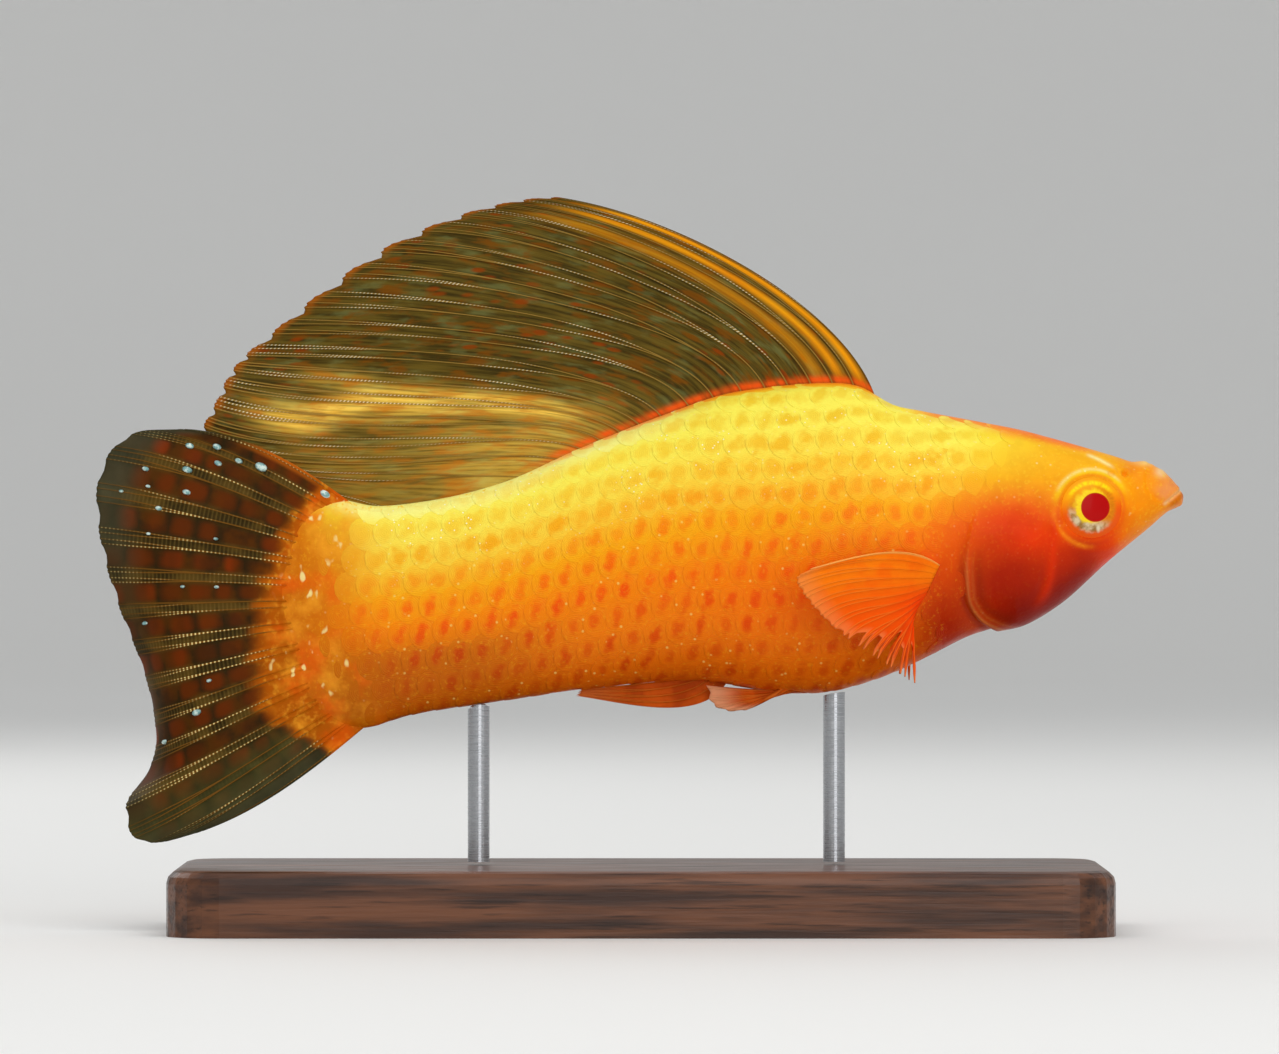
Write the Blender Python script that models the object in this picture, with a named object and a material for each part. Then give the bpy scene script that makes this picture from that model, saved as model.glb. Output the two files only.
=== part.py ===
"""An orange sailfin molly, life size, on a plain display stand.

The fish is drawn in its own straight frame, in millimetres: s runs back from the tip of the
snout, h runs up, and y runs to its left side. Each piece is cut in that frame, then curved
sideways along its length, and an empty turns it nose up above the stand.
"""

import math

import bmesh
import bpy
import numpy as np

MM = 0.001
GAP = 0.3

# The pose: how far the nose points up, where the snout is, and how the tail swings to the right.
NOSE_UP = math.radians(8.0)
SNOUT = (49.94, 0.0, 39.56)
BEND_START = 35.0
BEND_LENGTH = 65.0
BEND_REACH = 4.0

# The body: its upper and lower outline, and its half width, along s.
BACK = [(0, 0.45), (0.25, 1.0), (0.8, 2.0), (1.5, 2.8), (2.9, 3.9), (4.4, 4.2), (5.4, 4.7),
        (8.8, 6.25), (15.8, 9.2), (22.9, 11.65), (25.2, 12.5), (28.0, 14.6), (31.6, 15.45),
        (39.0, 15.75), (46.6, 14.5), (54.3, 12.6), (62.0, 10.4), (69.6, 9.7), (73.3, 9.8),
        (76.0, 10.6), (82.0, 13.6)]
BELLY = [(0, 0.3), (0.2, -0.3), (0.7, -0.58), (1.6, -0.85), (3.4, -2.0), (7.5, -4.5),
         (12.6, -7.9), (16.6, -9.4), (20.3, -9.5), (26.1, -11.3), (30.0, -12.35), (35.0, -13.0),
         (39.3, -12.4), (46.1, -10.4), (55.6, -9.65), (70.5, -9.6), (77.1, -10.4), (82.0, -12.4)]
HALF_WIDTH = [(0, 0), (0.3, 1.35), (1.0, 2.15), (2.0, 2.7), (5.0, 3.7), (8.7, 4.7), (12.5, 5.6),
              (18.0, 6.4), (25.0, 6.85), (32.0, 6.8), (40.0, 6.2), (48.0, 5.3), (56.0, 4.3),
              (64.0, 3.4), (70.0, 2.75), (76.0, 2.0), (82.0, 1.2)]
WIDEST = [(0, 0.4), (3.0, 0.45), (8.7, 0.52), (20.0, 0.46), (35.0, 0.48), (60.0, 0.5), (82.0, 0.5)]
ROUND_ABOVE = [(0, 2.3), (8.0, 2.3), (20.0, 2.0), (35.0, 1.8), (60.0, 1.9), (82.0, 2.2)]
ROUND_BELOW = [(0, 2.2), (8.0, 2.0), (18.0, 1.9), (30.0, 2.2), (60.0, 2.2), (82.0, 2.2)]
BODY_LENGTH = 82.0
SNOUT_MIDDLE = 0.4
REAR_MIDDLE = 0.6
HEAD_STATIONS = 22
HEAD_END = 24.0
BODY_STEP = 2.0
RING_POINTS = 36

# Borders between the head, trunk, tail stem and tail fin, from the back down.
HEAD_BORDER = [(16.4, 12.5), (17.1, 9.75), (19.2, 4.6), (20.6, -0.7), (21.1, -3.5), (21.2, -6.3),
               (20.2, -8.4), (18.5, -9.7), (17.2, -10.8)]
TRUNK_END = 67.5
STEM_END = [(75.2, 13.5), (76.0, 10.4), (77.5, 6.0), (78.3, 0.0), (78.6, -6.0), (78.5, -10.6),
            (78.4, -13.5)]

# The gill covers: a plate let into each side of the head, which ends at the head's rear border.
GILL_COVER = [(22.5, 0.3), (23.0, -11.5), (15.4, -11.5), (14.5, -8.6), (13.3, -6.3), (12.8, -3.8),
              (13.4, -1.5), (15.2, -0.1), (18.0, 0.5)]
GILL_DEPTH = 1.4
GILL_PROUD = 0.15
THROAT_HALF = 0.5

# The mouth: its line seen from the side, the rear border of the lower jaw, and the lips.
MOUTH_FRONT = (0.15, 0.95)
MOUTH_CORNER = (1.75, -0.05)
LOWER_JAW = [(-1.5, 2.05), (0.15, 0.95), (1.75, -0.05), (3.4, -2.0), (4.3, -3.1), (-2.0, -3.1)]
LIP_RADIUS = 0.42
LIP_TAPER = 0.6
LIP_SINK = 0.12
LIP_BACK = 0.3
LIP_SIDES = 6
LIP_POINTS = 15
LIP_TRIALS = 301
LEAST_WIDTH = 0.05

NOSTRILS = [(5.2, 3.15), (6.5, 3.3)]
NOSTRIL_RADIUS = 0.36

EYE = (8.7, 0.48)
EYE_RADIUS = 2.75
EYE_DEPTH = 1.9
EYE_PROUD = 0.75
EYE_SEGMENTS = 24
EYE_RINGS = 10

# The dorsal fin: seventeen rays, their roots along the back, and the places of their tips.
DORSAL_RAYS = 17
DORSAL_ROWS = 11
DORSAL_ROOT = (26.7, 66.5)
DORSAL_TIPS = [(0, 37.4, 27.4), (0.06, 44.2, 31.8), (0.19, 54.8, 35.9), (0.31, 61.4, 35.5),
               (0.44, 69.2, 33.5), (0.56, 76.1, 30.1), (0.69, 81.9, 26.6), (0.75, 84.3, 25.2),
               (0.88, 87.6, 20.6), (0.94, 89.0, 18.7), (1, 87.2, 15.6)]
DORSAL_ROOT_ANGLE = [(0, 78), (0.25, 70), (0.5, 60), (0.8, 35), (1, -5)]
DORSAL_TIP_ANGLE = [(0, 36), (0.2, 16), (0.4, 24), (0.6, 20), (0.8, 14), (1, 25)]
DORSAL_HALF_ROOT = 0.6
DORSAL_NOTCH = 0.035
DORSAL_LEAN = 2.2
DORSAL_LEAN_FROM = 60.0
DORSAL_LEAN_OVER = 22.0

# The tail fin: its rays fan out from the end of the stem, and its middle curls to the left.
TAIL_RAYS = 15
TAIL_ROWS = 10
TAIL_ROOT = (10.5, -10.8)
TAIL_TIPS = [(0, 89.5, 19.1), (0.06, 93.6, 19.6), (0.13, 96.6, 18.5), (0.19, 98.4, 16.0),
             (0.25, 99.1, 12.6), (0.5, 99.4, 0.0), (0.75, 100.2, -12.5), (0.82, 100.3, -15.3),
             (0.88, 99.5, -17.5), (0.94, 97.0, -18.0), (1, 93.0, -17.4)]
TAIL_ROOT_ANGLE = [(0, 46), (0.5, 3), (1, -32)]
TAIL_TIP_ANGLE = [(0, 12), (0.2, 16), (0.5, 0), (0.8, -16), (1, -12)]
TAIL_CURL = [(0, 0), (0.22, 5), (0.4, 40), (0.55, 75), (0.66, 85), (0.74, 70), (0.8, 12), (0.88, 0),
             (1, 0)]
TAIL_CURL_FROM = 0.56
LEAST_CURL = 0.001
TAIL_NOTCH = 0.04

# The pectoral fins: roots on the side of the body just behind the gill covers.
PECTORAL_RAYS = 13
PECTORAL_ROWS = 8
PECTORAL_ROOT = [(23.4, -2.6), (26.5, -6.8)]
PECTORAL_TIPS = [(0, 34.5, -1.4), (0.15, 36.3, -2.1), (0.3, 36.0, -3.6), (0.6, 32.6, -7.6),
                 (0.88, 29.0, -11.4), (1, 27.2, -13.1)]
PECTORAL_ROOT_ANGLE = [(0, 42), (0.5, -34), (1, -88)]
PECTORAL_TIP_ANGLE = [(0, -6), (0.5, -42), (1, -84)]
RIGHT_SPREAD = 0.55
LEFT_SPREAD = 0.72
PECTORAL_HALF_ROOT = 0.55
PECTORAL_FOOT = 0.8
PECTORAL_NOTCH = 0.08

# The pelvic fins lie back along the belly, one on each side of the middle.
PELVIC_RAYS = 5
PELVIC_ROWS = 7
PELVIC_ROOT = [(36.6, 0.9), (38.2, 2.0)]
PELVIC_TIPS = [(0, 45.2, 1.1), (0.5, 44.4, 2.0), (1, 42.6, 2.9)]
PELVIC_DROP = 1.9
PELVIC_FOOT = 0.8
PELVIC_HALF_ROOT = 0.35
PELVIC_NOTCH = 0.05
PELVIC_SAG = 0.3

# The front rays of a male's anal fin form one slender rod, which points back along the belly.
ROD_FIN_RAYS = 3
ROD_FIN_ROWS = 10
ROD_FIN_ROOT = (43.9, 46.3)
ROD_FIN_TIPS = [(0, 57.7, -10.7), (1, 57.2, -10.1)]
ROD_FIN_ROOT_ANGLE = [(0, -20), (1, -14)]
ROD_FIN_TIP_ANGLE = [(0, 14), (1, 8)]
ROD_FIN_HALF = (0.4, 0.22)

# The fins' thickness: half the membrane's, half that at the margin, and the height of the rays.
# A fin thins away from its root over the given share of its length, and again towards the margin.
MEMBRANE_HALF = 0.25
TIP_HALF = 0.15
RIDGE = 0.2
RIDGE_AT_TIP = 0.4
ROOT_FADE = 0.07
STEM_FADE = 0.18
STEM_REAR = 78.0
THIN_FROM = 0.85
NOTCH_FROM = 0.75

# Columns that repeat on each ray, in ray spacings: offset at the root and at the tip, height at the
# root and at the tip, and how far the margin draws in there.
SIMPLE_RAY = [(-0.22, -0.22, 0, 0, 0.3), (0, 0, 1, 1, 0), (0.22, 0.22, 0, 0, 0.3), (0.5, 0.5, 0, 0, 1)]
FORKED_RAY = [(-0.3, -0.38, 0, 0, 1), (-0.12, -0.2, 1, 1, 0), (0, 0, 1, 0, 0.5), (0.12, 0.2, 1, 1, 0),
              (0.3, 0.38, 0, 0, 1)]
FINE_RAY = [(0, 0, 1, 1, 0), (0.5, 0.5, 0, 0, 1)]
FORK_FROM = 0.3
FORK_OVER = 0.4
ROW_CROWDING = 0.6
WHOLE_FIN = 1.0001

# The stand: a plain plinth and two upright rods.
BASE_LENGTH = 86.0
BASE_WIDTH = 38.0
BASE_HEIGHT = 6.0
BASE_CORNER = 5.0
CORNER_POINTS = 6
BASE_CHAMFER = 1.2
CHAMFER_STEPS = 3
ROD_RADIUS = 1.0
ROD_SIDES = 24
ROD_STATIONS = (32.5, 65.5)
ROD_RISE = 3.0

# How far the cutting slabs reach past the body, to the front and rear, up and down, and sideways.
SLAB_PAST = 20.0
SLAB_TALL = 40.0
SLAB_WIDE = 30.0
POCKET_RISE = 3.0
NORMAL_STEP = 0.05

ORANGE = (0.85, 0.32, 0.03)
DEEP_ORANGE = (0.75, 0.16, 0.03)
YELLOW_ORANGE = (0.9, 0.5, 0.05)
OLIVE = (0.35, 0.28, 0.1)
EYE_RED = (0.5, 0.02, 0.02)
WOOD = (0.12, 0.06, 0.03)
STEEL = (0.6, 0.6, 0.62)
SKIN_ROUGHNESS = 0.4
FIN_ROUGHNESS = 0.5
EYE_ROUGHNESS = 0.15
WOOD_ROUGHNESS = 0.35
STEEL_ROUGHNESS = 0.25


def through(knots, places, column=1):
    """Smooth curve through the knots: cubics whose slopes are the mean of the chords beside."""
    x = np.array([knot[0] for knot in knots], float)
    value = np.array([knot[column] for knot in knots], float)
    chords = np.diff(value) / np.diff(x)
    slopes = np.concatenate([chords[:1], (chords[1:] + chords[:-1]) / 2, chords[-1:]])
    turns = np.concatenate([[False], chords[1:] * chords[:-1] <= 0, [False]])
    slopes[turns] = 0
    before = np.abs(np.insert(chords, 0, chords[0]))
    after = np.abs(np.append(chords, chords[-1]))
    steepest = 3 * np.minimum(before, after)
    slopes = np.clip(slopes, -steepest, steepest)
    places = np.clip(np.asarray(places, float), x[0], x[-1])
    cell = np.clip(np.searchsorted(x, places, side="right") - 1, 0, len(x) - 2)
    span = x[cell + 1] - x[cell]
    t = (places - x[cell]) / span
    return ((2 * t**3 - 3 * t**2 + 1) * value[cell] + (t**3 - 2 * t**2 + t) * span * slopes[cell]
            + (3 * t**2 - 2 * t**3) * value[cell + 1] + (t**3 - t**2) * span * slopes[cell + 1])


def smooth_step(t):
    t = np.clip(t, 0, 1)
    return t * t * (3 - 2 * t)


def sideways(s):
    """The body's curve: straight to BEND_START, then a parabola towards the right side."""
    return -BEND_REACH * (np.maximum(s - BEND_START, 0) / BEND_LENGTH) ** 2


def section(s, grow=0.0):
    """Top, bottom, half width, height of the widest place and both roundness powers at s."""
    top = through(BACK, s) + grow
    bottom = through(BELLY, s) - grow
    width = np.maximum(through(HALF_WIDTH, s) + grow, 0)
    middle = bottom + (top - bottom) * through(WIDEST, s)
    return top, bottom, width, middle, through(ROUND_ABOVE, s), through(ROUND_BELOW, s)


def half_width_at(s, h, grow=0.0):
    """Half width of the body at s and height h, from the same rounded section."""
    top, bottom, width, middle, above, below = section(s, grow)
    rise = np.where(h > middle, (h - middle) / (top - middle), (middle - h) / (middle - bottom))
    power = np.where(h > middle, above, below)
    return width * (1 - np.clip(rise, 0, 1) ** power) ** (1 / power)


def skin_point(s, h, side, lift):
    """Point on the body's side at s and h, moved out by lift along the surface's normal."""
    step = NORMAL_STEP
    y = half_width_at(s, h)
    slope_s = (half_width_at(s + step, h) - half_width_at(s - step, h)) / (2 * step)
    slope_h = (half_width_at(s, h + step) - half_width_at(s, h - step)) / (2 * step)
    out = lift / np.sqrt(1 + slope_s**2 + slope_h**2)
    return np.stack([s - out * slope_s, side * (y + out), h - out * slope_h], -1)


def belly_point(s, y, lift):
    """Point on the underside at s and sideways place y, moved down by lift."""
    top, bottom, width, middle, above, below = section(s)
    drop = (1 - np.clip(np.abs(y) / width, 0, 1) ** below) ** (1 / below)
    return np.stack([s, y, middle - (middle - bottom) * drop - lift], -1)


def make_object(name, points, faces):
    """Mesh object from points in the fish's frame (s, y, h), in millimetres."""
    points = np.asarray(points, float).reshape(-1, 3)
    mesh = bpy.data.meshes.new(name)
    mesh.from_pydata((points * (-MM, MM, MM)).tolist(), [], [tuple(face) for face in faces])
    body = bmesh.new()
    body.from_mesh(mesh)
    bmesh.ops.recalc_face_normals(body, faces=body.faces)
    body.to_mesh(mesh)
    body.free()
    item = bpy.data.objects.new(name, mesh)
    bpy.context.collection.objects.link(item)
    return item


def strip_faces(rows, columns, closed):
    """Quads between neighbouring rows of a grid, closed round its columns or not."""
    faces = []
    for row in range(rows - 1):
        for column in range(columns if closed else columns - 1):
            after = (column + 1) % columns
            low = row * columns
            faces.append((low + column, low + after, low + columns + after, low + columns + column))
    return faces


def tube(name, rings, first, last):
    """Closed skin over rings of points, drawn together to a point at each end."""
    rows, columns = rings.shape[:2]
    points = np.concatenate([rings.reshape(-1, 3), [first, last]])
    faces = strip_faces(rows, columns, True)
    start = rows * columns
    for column in range(columns):
        after = (column + 1) % columns
        faces.append((start, after, column))
        faces.append((start + 1, start - columns + column, start - columns + after))
    return make_object(name, points, faces)


def flesh(name, grow=0.0):
    """The whole body: rounded sections along s, closer together towards the snout."""
    head = HEAD_END * (np.arange(1, HEAD_STATIONS + 1) / HEAD_STATIONS) ** 2
    s = np.concatenate([head, np.arange(HEAD_END + BODY_STEP, BODY_LENGTH + 0.1, BODY_STEP)])[:, None]
    top, bottom, width, middle, above, below = section(s, grow)
    turn = np.linspace(0, 2 * math.pi, RING_POINTS, endpoint=False)[None, :]
    rise = np.sin(turn)
    power = np.where(rise > 0, above, below)
    reach = np.where(rise > 0, top - middle, middle - bottom)
    y = width * np.sign(np.cos(turn)) * np.abs(np.cos(turn)) ** (2 / power)
    h = middle + reach * np.sign(rise) * np.abs(rise) ** (2 / power)
    rings = np.stack([np.broadcast_to(s, y.shape), y, h], -1)
    return tube(name, rings, (0, 0, SNOUT_MIDDLE), (BODY_LENGTH, 0, REAR_MIDDLE))


def offset_line(points, distance, closed=False):
    """Moves each point of a line by distance along its normal (to the left of its run)."""
    points = np.asarray(points, float)
    if closed:
        before, after = np.roll(points, 1, 0), np.roll(points, -1, 0)
    else:
        before, after = np.vstack([points[:1], points[:-1]]), np.vstack([points[1:], points[-1:]])
    run = after - before
    run /= np.linalg.norm(run, axis=1)[:, None]
    return points + distance * np.stack([-run[:, 1], run[:, 0]], -1)


def prism(name, outline, low, high):
    """Upright slab with the given side outline (s, h), from sideways place low to high."""
    outline = np.asarray(outline, float)
    count = len(outline)
    points = [(s, low, h) for s, h in outline] + [(s, high, h) for s, h in outline]
    faces = [tuple(range(count)), tuple(range(2 * count - 1, count - 1, -1))]
    for place in range(count):
        after = (place + 1) % count
        faces.append((place, after, after + count, place + count))
    return make_object(name, points, faces)


def ellipsoid(name, centre, radii):
    """Closed ball with its poles to the sides, and radii along s, y and h."""
    rise = np.linspace(0, math.pi, EYE_RINGS + 1)[1:-1, None]
    turn = np.linspace(0, 2 * math.pi, EYE_SEGMENTS, endpoint=False)[None, :]
    ball = np.stack([np.sin(rise) * np.cos(turn), np.cos(rise) * np.ones_like(turn),
                     np.sin(rise) * np.sin(turn)], -1)
    centre = np.asarray(centre, float)
    pole = np.array([0, radii[1], 0])
    return tube(name, centre + ball * radii, centre + pole, centre - pole)


def apply_boolean(item, operation, cutter=None, collection=None, solver="EXACT"):
    modifier = item.modifiers.new(operation.title(), "BOOLEAN")
    modifier.operation = operation
    modifier.solver = solver
    if collection:
        modifier.operand_type = "COLLECTION"
        modifier.collection = collection
    else:
        modifier.object = cutter
    graph = bpy.context.evaluated_depsgraph_get()
    mesh = bpy.data.meshes.new_from_object(item.evaluated_get(graph))
    item.modifiers.clear()
    item.data = mesh


def combine(item, operation, *cutters):
    """Cuts the item with each cutter in turn, and removes the cutters."""
    for cutter in cutters:
        apply_boolean(item, operation, cutter)
    for cutter in cutters:
        bpy.data.objects.remove(cutter)
    return item


def unite(item, pieces):
    """Fuses the pieces into the item with one union, and removes them.

    The manifold solver is used, as the exact one loses the lower jaw.
    """
    group = bpy.data.collections.new(item.name + "_pieces")
    bpy.context.scene.collection.children.link(group)
    for piece in pieces:
        bpy.context.collection.objects.unlink(piece)
        group.objects.link(piece)
    apply_boolean(item, "UNION", collection=group, solver="MANIFOLD")
    for piece in pieces:
        bpy.data.objects.remove(piece)
    bpy.data.collections.remove(group)
    return item


def keep_largest_surface(item):
    """Drops every closed surface but the one with the most faces, and splits faces into triangles."""
    body = bmesh.new()
    body.from_mesh(item.data)
    unseen = set(body.faces)
    largest = set()
    while unseen:
        shell = set()
        front = [unseen.pop()]
        while front:
            face = front.pop()
            shell.add(face)
            for edge in face.edges:
                for beside in edge.link_faces:
                    if beside in unseen:
                        unseen.remove(beside)
                        front.append(beside)
        largest = max(largest, shell, key=len)
    bmesh.ops.delete(body, geom=[face for face in body.faces if face not in largest], context="FACES")
    bmesh.ops.triangulate(body, faces=body.faces)
    body.to_mesh(item.data)
    body.free()


def front_of(border, shift):
    """Side outline of all that lies before a border line, moved by shift along s."""
    line = offset_line(border, shift)
    return [(-SLAB_PAST, line[0][1])] + line.tolist() + [(-SLAB_PAST, line[-1][1])]


def behind(border, shift):
    """Side outline of all that lies behind a border line, moved by shift along s."""
    line = offset_line(border, shift)
    end = BODY_LENGTH + SLAB_PAST
    return [(end, line[0][1])] + line.tolist() + [(end, line[-1][1])]


def box_outline(front, rear):
    return [(front, -SLAB_TALL), (front, SLAB_TALL), (rear, SLAB_TALL), (rear, -SLAB_TALL)]


def far_slab(name, outline):
    return prism(name, outline, -SLAB_WIDE, SLAB_WIDE)


def lip(name, side):
    """Round bead along the mouth, above its line (side 1) or below it (side -1)."""
    front, corner = np.array(MOUTH_FRONT), np.array(MOUTH_CORNER)
    along = (corner - front) / np.linalg.norm(corner - front)
    across = side * np.array([-along[1], along[0]])
    start = front + across * (LIP_RADIUS + GAP / 2)
    end = corner + across * (LIP_RADIUS + GAP / 2)
    reach = np.linspace(-1, 1, LIP_POINTS)
    trial = np.linspace(-0.5, 1, LIP_TRIALS)[:, None]
    line = start + trial * (end - start)
    inside = half_width_at(np.maximum(line[:, 0], 0), line[:, 1]) > LEAST_WIDTH
    first = trial[np.argmax(inside), 0]
    place = first + (1 - first) * reach[:, None] ** 2
    line = start + place * (end - start)
    width = half_width_at(np.maximum(line[:, 0], 0), line[:, 1]) - LIP_SINK
    path = np.stack([line[:, 0] + LIP_BACK, np.sign(reach) * np.maximum(width, 0), line[:, 1]], -1)
    upright = np.array([across[0], 0, across[1]])
    run = np.gradient(path, axis=0)
    run /= np.linalg.norm(run, axis=1)[:, None]
    outward = np.cross(run, upright)
    outward /= np.linalg.norm(outward, axis=1)[:, None]
    radius = LIP_RADIUS * (1 - LIP_TAPER * np.abs(reach) ** 4)
    turn = np.linspace(0, 2 * math.pi, LIP_SIDES, endpoint=False)
    rings = path[:, None] + radius[:, None, None] * (
        np.cos(turn)[None, :, None] * outward[:, None] + np.sin(turn)[None, :, None] * upright)
    return tube(name, rings, path[0], path[-1])


def eye_centre(side):
    y = half_width_at(np.array(EYE[0]), np.array(EYE[1])) + EYE_PROUD - EYE_DEPTH
    return (EYE[0], side * float(y), EYE[1])


def make_eye(name, side, grow=0.0):
    return ellipsoid(name, eye_centre(side), (EYE_RADIUS + grow, EYE_DEPTH + grow, EYE_RADIUS + grow))


def gill_shell(name, side, grow, outer, inner):
    """Layer of the body's side inside the gill cover's outline, between two grown bodies."""
    outline = offset_line(GILL_COVER, grow, closed=True)
    near = THROAT_HALF - grow / 2
    low, high = (near, SLAB_WIDE) if side > 0 else (-SLAB_WIDE, -near)
    layer = prism(name, outline, low, high)
    combine(layer, "INTERSECT", flesh("outer", outer))
    return combine(layer, "DIFFERENCE", flesh("inner", inner))


def make_gill_cover(name, side):
    cover = gill_shell(name, side, 0, GILL_PROUD, -GILL_DEPTH)
    return combine(cover, "DIFFERENCE", far_slab("rear", behind(HEAD_BORDER, 0)))


def make_head(name):
    """Front of the body, with hollows for the eyes, gill covers and lower jaw, and the upper lip."""
    head = flesh(name)
    combine(head, "DIFFERENCE", far_slab("rear", behind(HEAD_BORDER, 0)))
    combine(head, "DIFFERENCE", far_slab("jaw", offset_line(LOWER_JAW, GAP / 2, closed=True)))
    for side in (-1, 1):
        pocket = gill_shell("pocket", side, GAP, POCKET_RISE, -GILL_DEPTH - GAP)
        combine(head, "DIFFERENCE", pocket, make_eye("socket", side, GAP))
        for s, h in NOSTRILS:
            centre = skin_point(np.array(s), np.array(h), side, 0)
            combine(head, "DIFFERENCE", ellipsoid("nostril", centre, [NOSTRIL_RADIUS] * 3))
    return unite(head, [lip("upper_lip", 1)])


def make_lower_jaw(name):
    outline = offset_line(LOWER_JAW, -GAP / 2, closed=True)
    jaw = combine(flesh(name), "INTERSECT", far_slab("jaw", outline))
    return unite(jaw, [lip("lower_lip", -1)])


def make_trunk(name):
    trunk = combine(flesh(name), "DIFFERENCE", far_slab("front", front_of(HEAD_BORDER, GAP)))
    rear = far_slab("rear", box_outline(TRUNK_END, BODY_LENGTH + SLAB_PAST))
    return combine(trunk, "DIFFERENCE", rear)


def make_tail_stem(name):
    stem = combine(flesh(name), "DIFFERENCE", far_slab("rear", behind(STEM_END, 0)))
    front = far_slab("front", box_outline(-SLAB_PAST, TRUNK_END + GAP))
    return combine(stem, "DIFFERENCE", front)


def ray_curve(root, tip, root_angle, tip_angle, v):
    """Cubic from root to tip, leaving and arriving at the given angles above the backward axis."""
    length = np.linalg.norm(tip - root, axis=-1, keepdims=True)
    leave = length * np.stack([np.cos(root_angle), np.sin(root_angle)], -1)
    arrive = length * np.stack([np.cos(tip_angle), np.sin(tip_angle)], -1)
    v = v[..., None]
    return ((2 * v**3 - 3 * v**2 + 1) * root + (v**3 - 2 * v**2 + v) * leave
            + (3 * v**2 - 2 * v**3) * tip + (v**3 - v**2) * arrive)


def fan(root, tips, root_angle, tip_angle, u, v):
    """Side view (s, h) of a fin: u runs from its first ray to its last, v from root to tip."""
    tip = np.stack([through(tips, u, 1), through(tips, u, 2)], -1)
    return ray_curve(root, tip, np.radians(through(root_angle, u)), np.radians(through(tip_angle, u)), v)


def dorsal_surface(u, v):
    s = DORSAL_ROOT[0] + (DORSAL_ROOT[1] - DORSAL_ROOT[0]) * u
    root = np.stack([s, through(BACK, s) + GAP], -1)
    side = fan(root, DORSAL_TIPS, DORSAL_ROOT_ANGLE, DORSAL_TIP_ANGLE, u, v)
    lean = DORSAL_LEAN * smooth_step((side[..., 0] - DORSAL_LEAN_FROM) / DORSAL_LEAN_OVER)
    return np.stack([side[..., 0], lean, side[..., 1]], -1)


def tail_surface(u, v):
    """Fan of rays whose ends follow an arc towards the left, by the angle TAIL_CURL gives."""
    h = TAIL_ROOT[0] + (TAIL_ROOT[1] - TAIL_ROOT[0]) * u
    knots = [(-height, place) for place, height in STEM_END]
    root = np.stack([through(knots, -h) + GAP, h], -1)
    curl = np.maximum(np.radians(through(TAIL_CURL, u)), LEAST_CURL)
    past = np.clip((v - TAIL_CURL_FROM) / (1 - TAIL_CURL_FROM), 0, None)
    flat = np.minimum(v, TAIL_CURL_FROM) + (1 - TAIL_CURL_FROM) * np.sin(curl * past) / curl
    side = fan(root, TAIL_TIPS, TAIL_ROOT_ANGLE, TAIL_TIP_ANGLE, u, flat)
    tip = np.stack([through(TAIL_TIPS, u, 1), through(TAIL_TIPS, u, 2)], -1)
    bent = np.linalg.norm(tip - root, axis=-1) * (1 - TAIL_CURL_FROM)
    y = bent * (1 - np.cos(curl * past)) / curl
    return np.stack([side[..., 0], y, side[..., 1]], -1)


def pectoral_root(u):
    """Line of the root in side view, and the unit vector across it, up and back."""
    front, rear = np.array(PECTORAL_ROOT)
    run = (rear - front) / np.linalg.norm(rear - front)
    return front + (rear - front) * u[..., None], np.array([-run[1], run[0]])


def pectoral_surface(side, spread):
    """Side view of the fin, held away from the body by the given slope."""
    def surface(u, v):
        root = pectoral_root(u)[0]
        flat = fan(root, PECTORAL_TIPS, PECTORAL_ROOT_ANGLE, PECTORAL_TIP_ANGLE, u, v)
        start = skin_point(root[..., 0], root[..., 1], side, GAP)
        run = np.linalg.norm(flat - root, axis=-1)
        y = start[..., 1] + side * spread * run
        return np.stack([flat[..., 0], y, flat[..., 1]], -1)
    return surface


def pectoral_feet(side):
    """Front and rear edge of the root, a gap off the body's side."""
    def feet(u):
        root, across = pectoral_root(u)
        edges = [root - across * PECTORAL_FOOT, root + across * PECTORAL_FOOT]
        return [skin_point(edge[:, 0], edge[:, 1], side, GAP) for edge in edges]
    return feet


def pelvic_root(u, side):
    front, rear = np.array(PELVIC_ROOT)
    line = front + (rear - front) * u[..., None]
    return line[..., 0], side * line[..., 1]


def pelvic_feet(side):
    """Front and rear edge of the root, a gap under the belly."""
    def feet(u):
        s, y = pelvic_root(u, side)
        return [belly_point(s - PELVIC_FOOT, y, GAP), belly_point(s + PELVIC_FOOT, y, GAP)]
    return feet


def pelvic_surface(side):
    def surface(u, v):
        s, y = pelvic_root(u, side)
        root = belly_point(s, y, GAP)
        tip_s, tip_y = through(PELVIC_TIPS, u, 1), side * through(PELVIC_TIPS, u, 2)
        tip = belly_point(tip_s, tip_y, PELVIC_DROP + GAP)
        v = v[..., None]
        sag = np.stack([0 * s, 0 * s, -4 * PELVIC_SAG * (v * (1 - v))[..., 0]], -1)
        return root + (tip - root) * v + sag
    return surface


def rod_fin_surface(u, v):
    s = ROD_FIN_ROOT[0] + (ROD_FIN_ROOT[1] - ROD_FIN_ROOT[0]) * u
    root = np.stack([s, through(BELLY, s) - GAP], -1)
    side = fan(root, ROD_FIN_TIPS, ROD_FIN_ROOT_ANGLE, ROD_FIN_TIP_ANGLE, u, v)
    return np.stack([side[..., 0], 0 * u, side[..., 1]], -1)


def ray_columns(rays, profile):
    """The profile's five values for every column of a fin, with its offsets turned into u."""
    profile = np.array(profile, float)
    edge = np.abs(profile[0, :2]).max()
    pitch = 1 / (rays - 1 + 2 * edge)
    columns = []
    for ray in range(rays):
        for column in profile:
            place = (ray + edge + column[:2]) * pitch
            if place.max() <= WHOLE_FIN:
                columns.append(np.concatenate([place, column[2:]]))
    return np.array(columns).T


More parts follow.
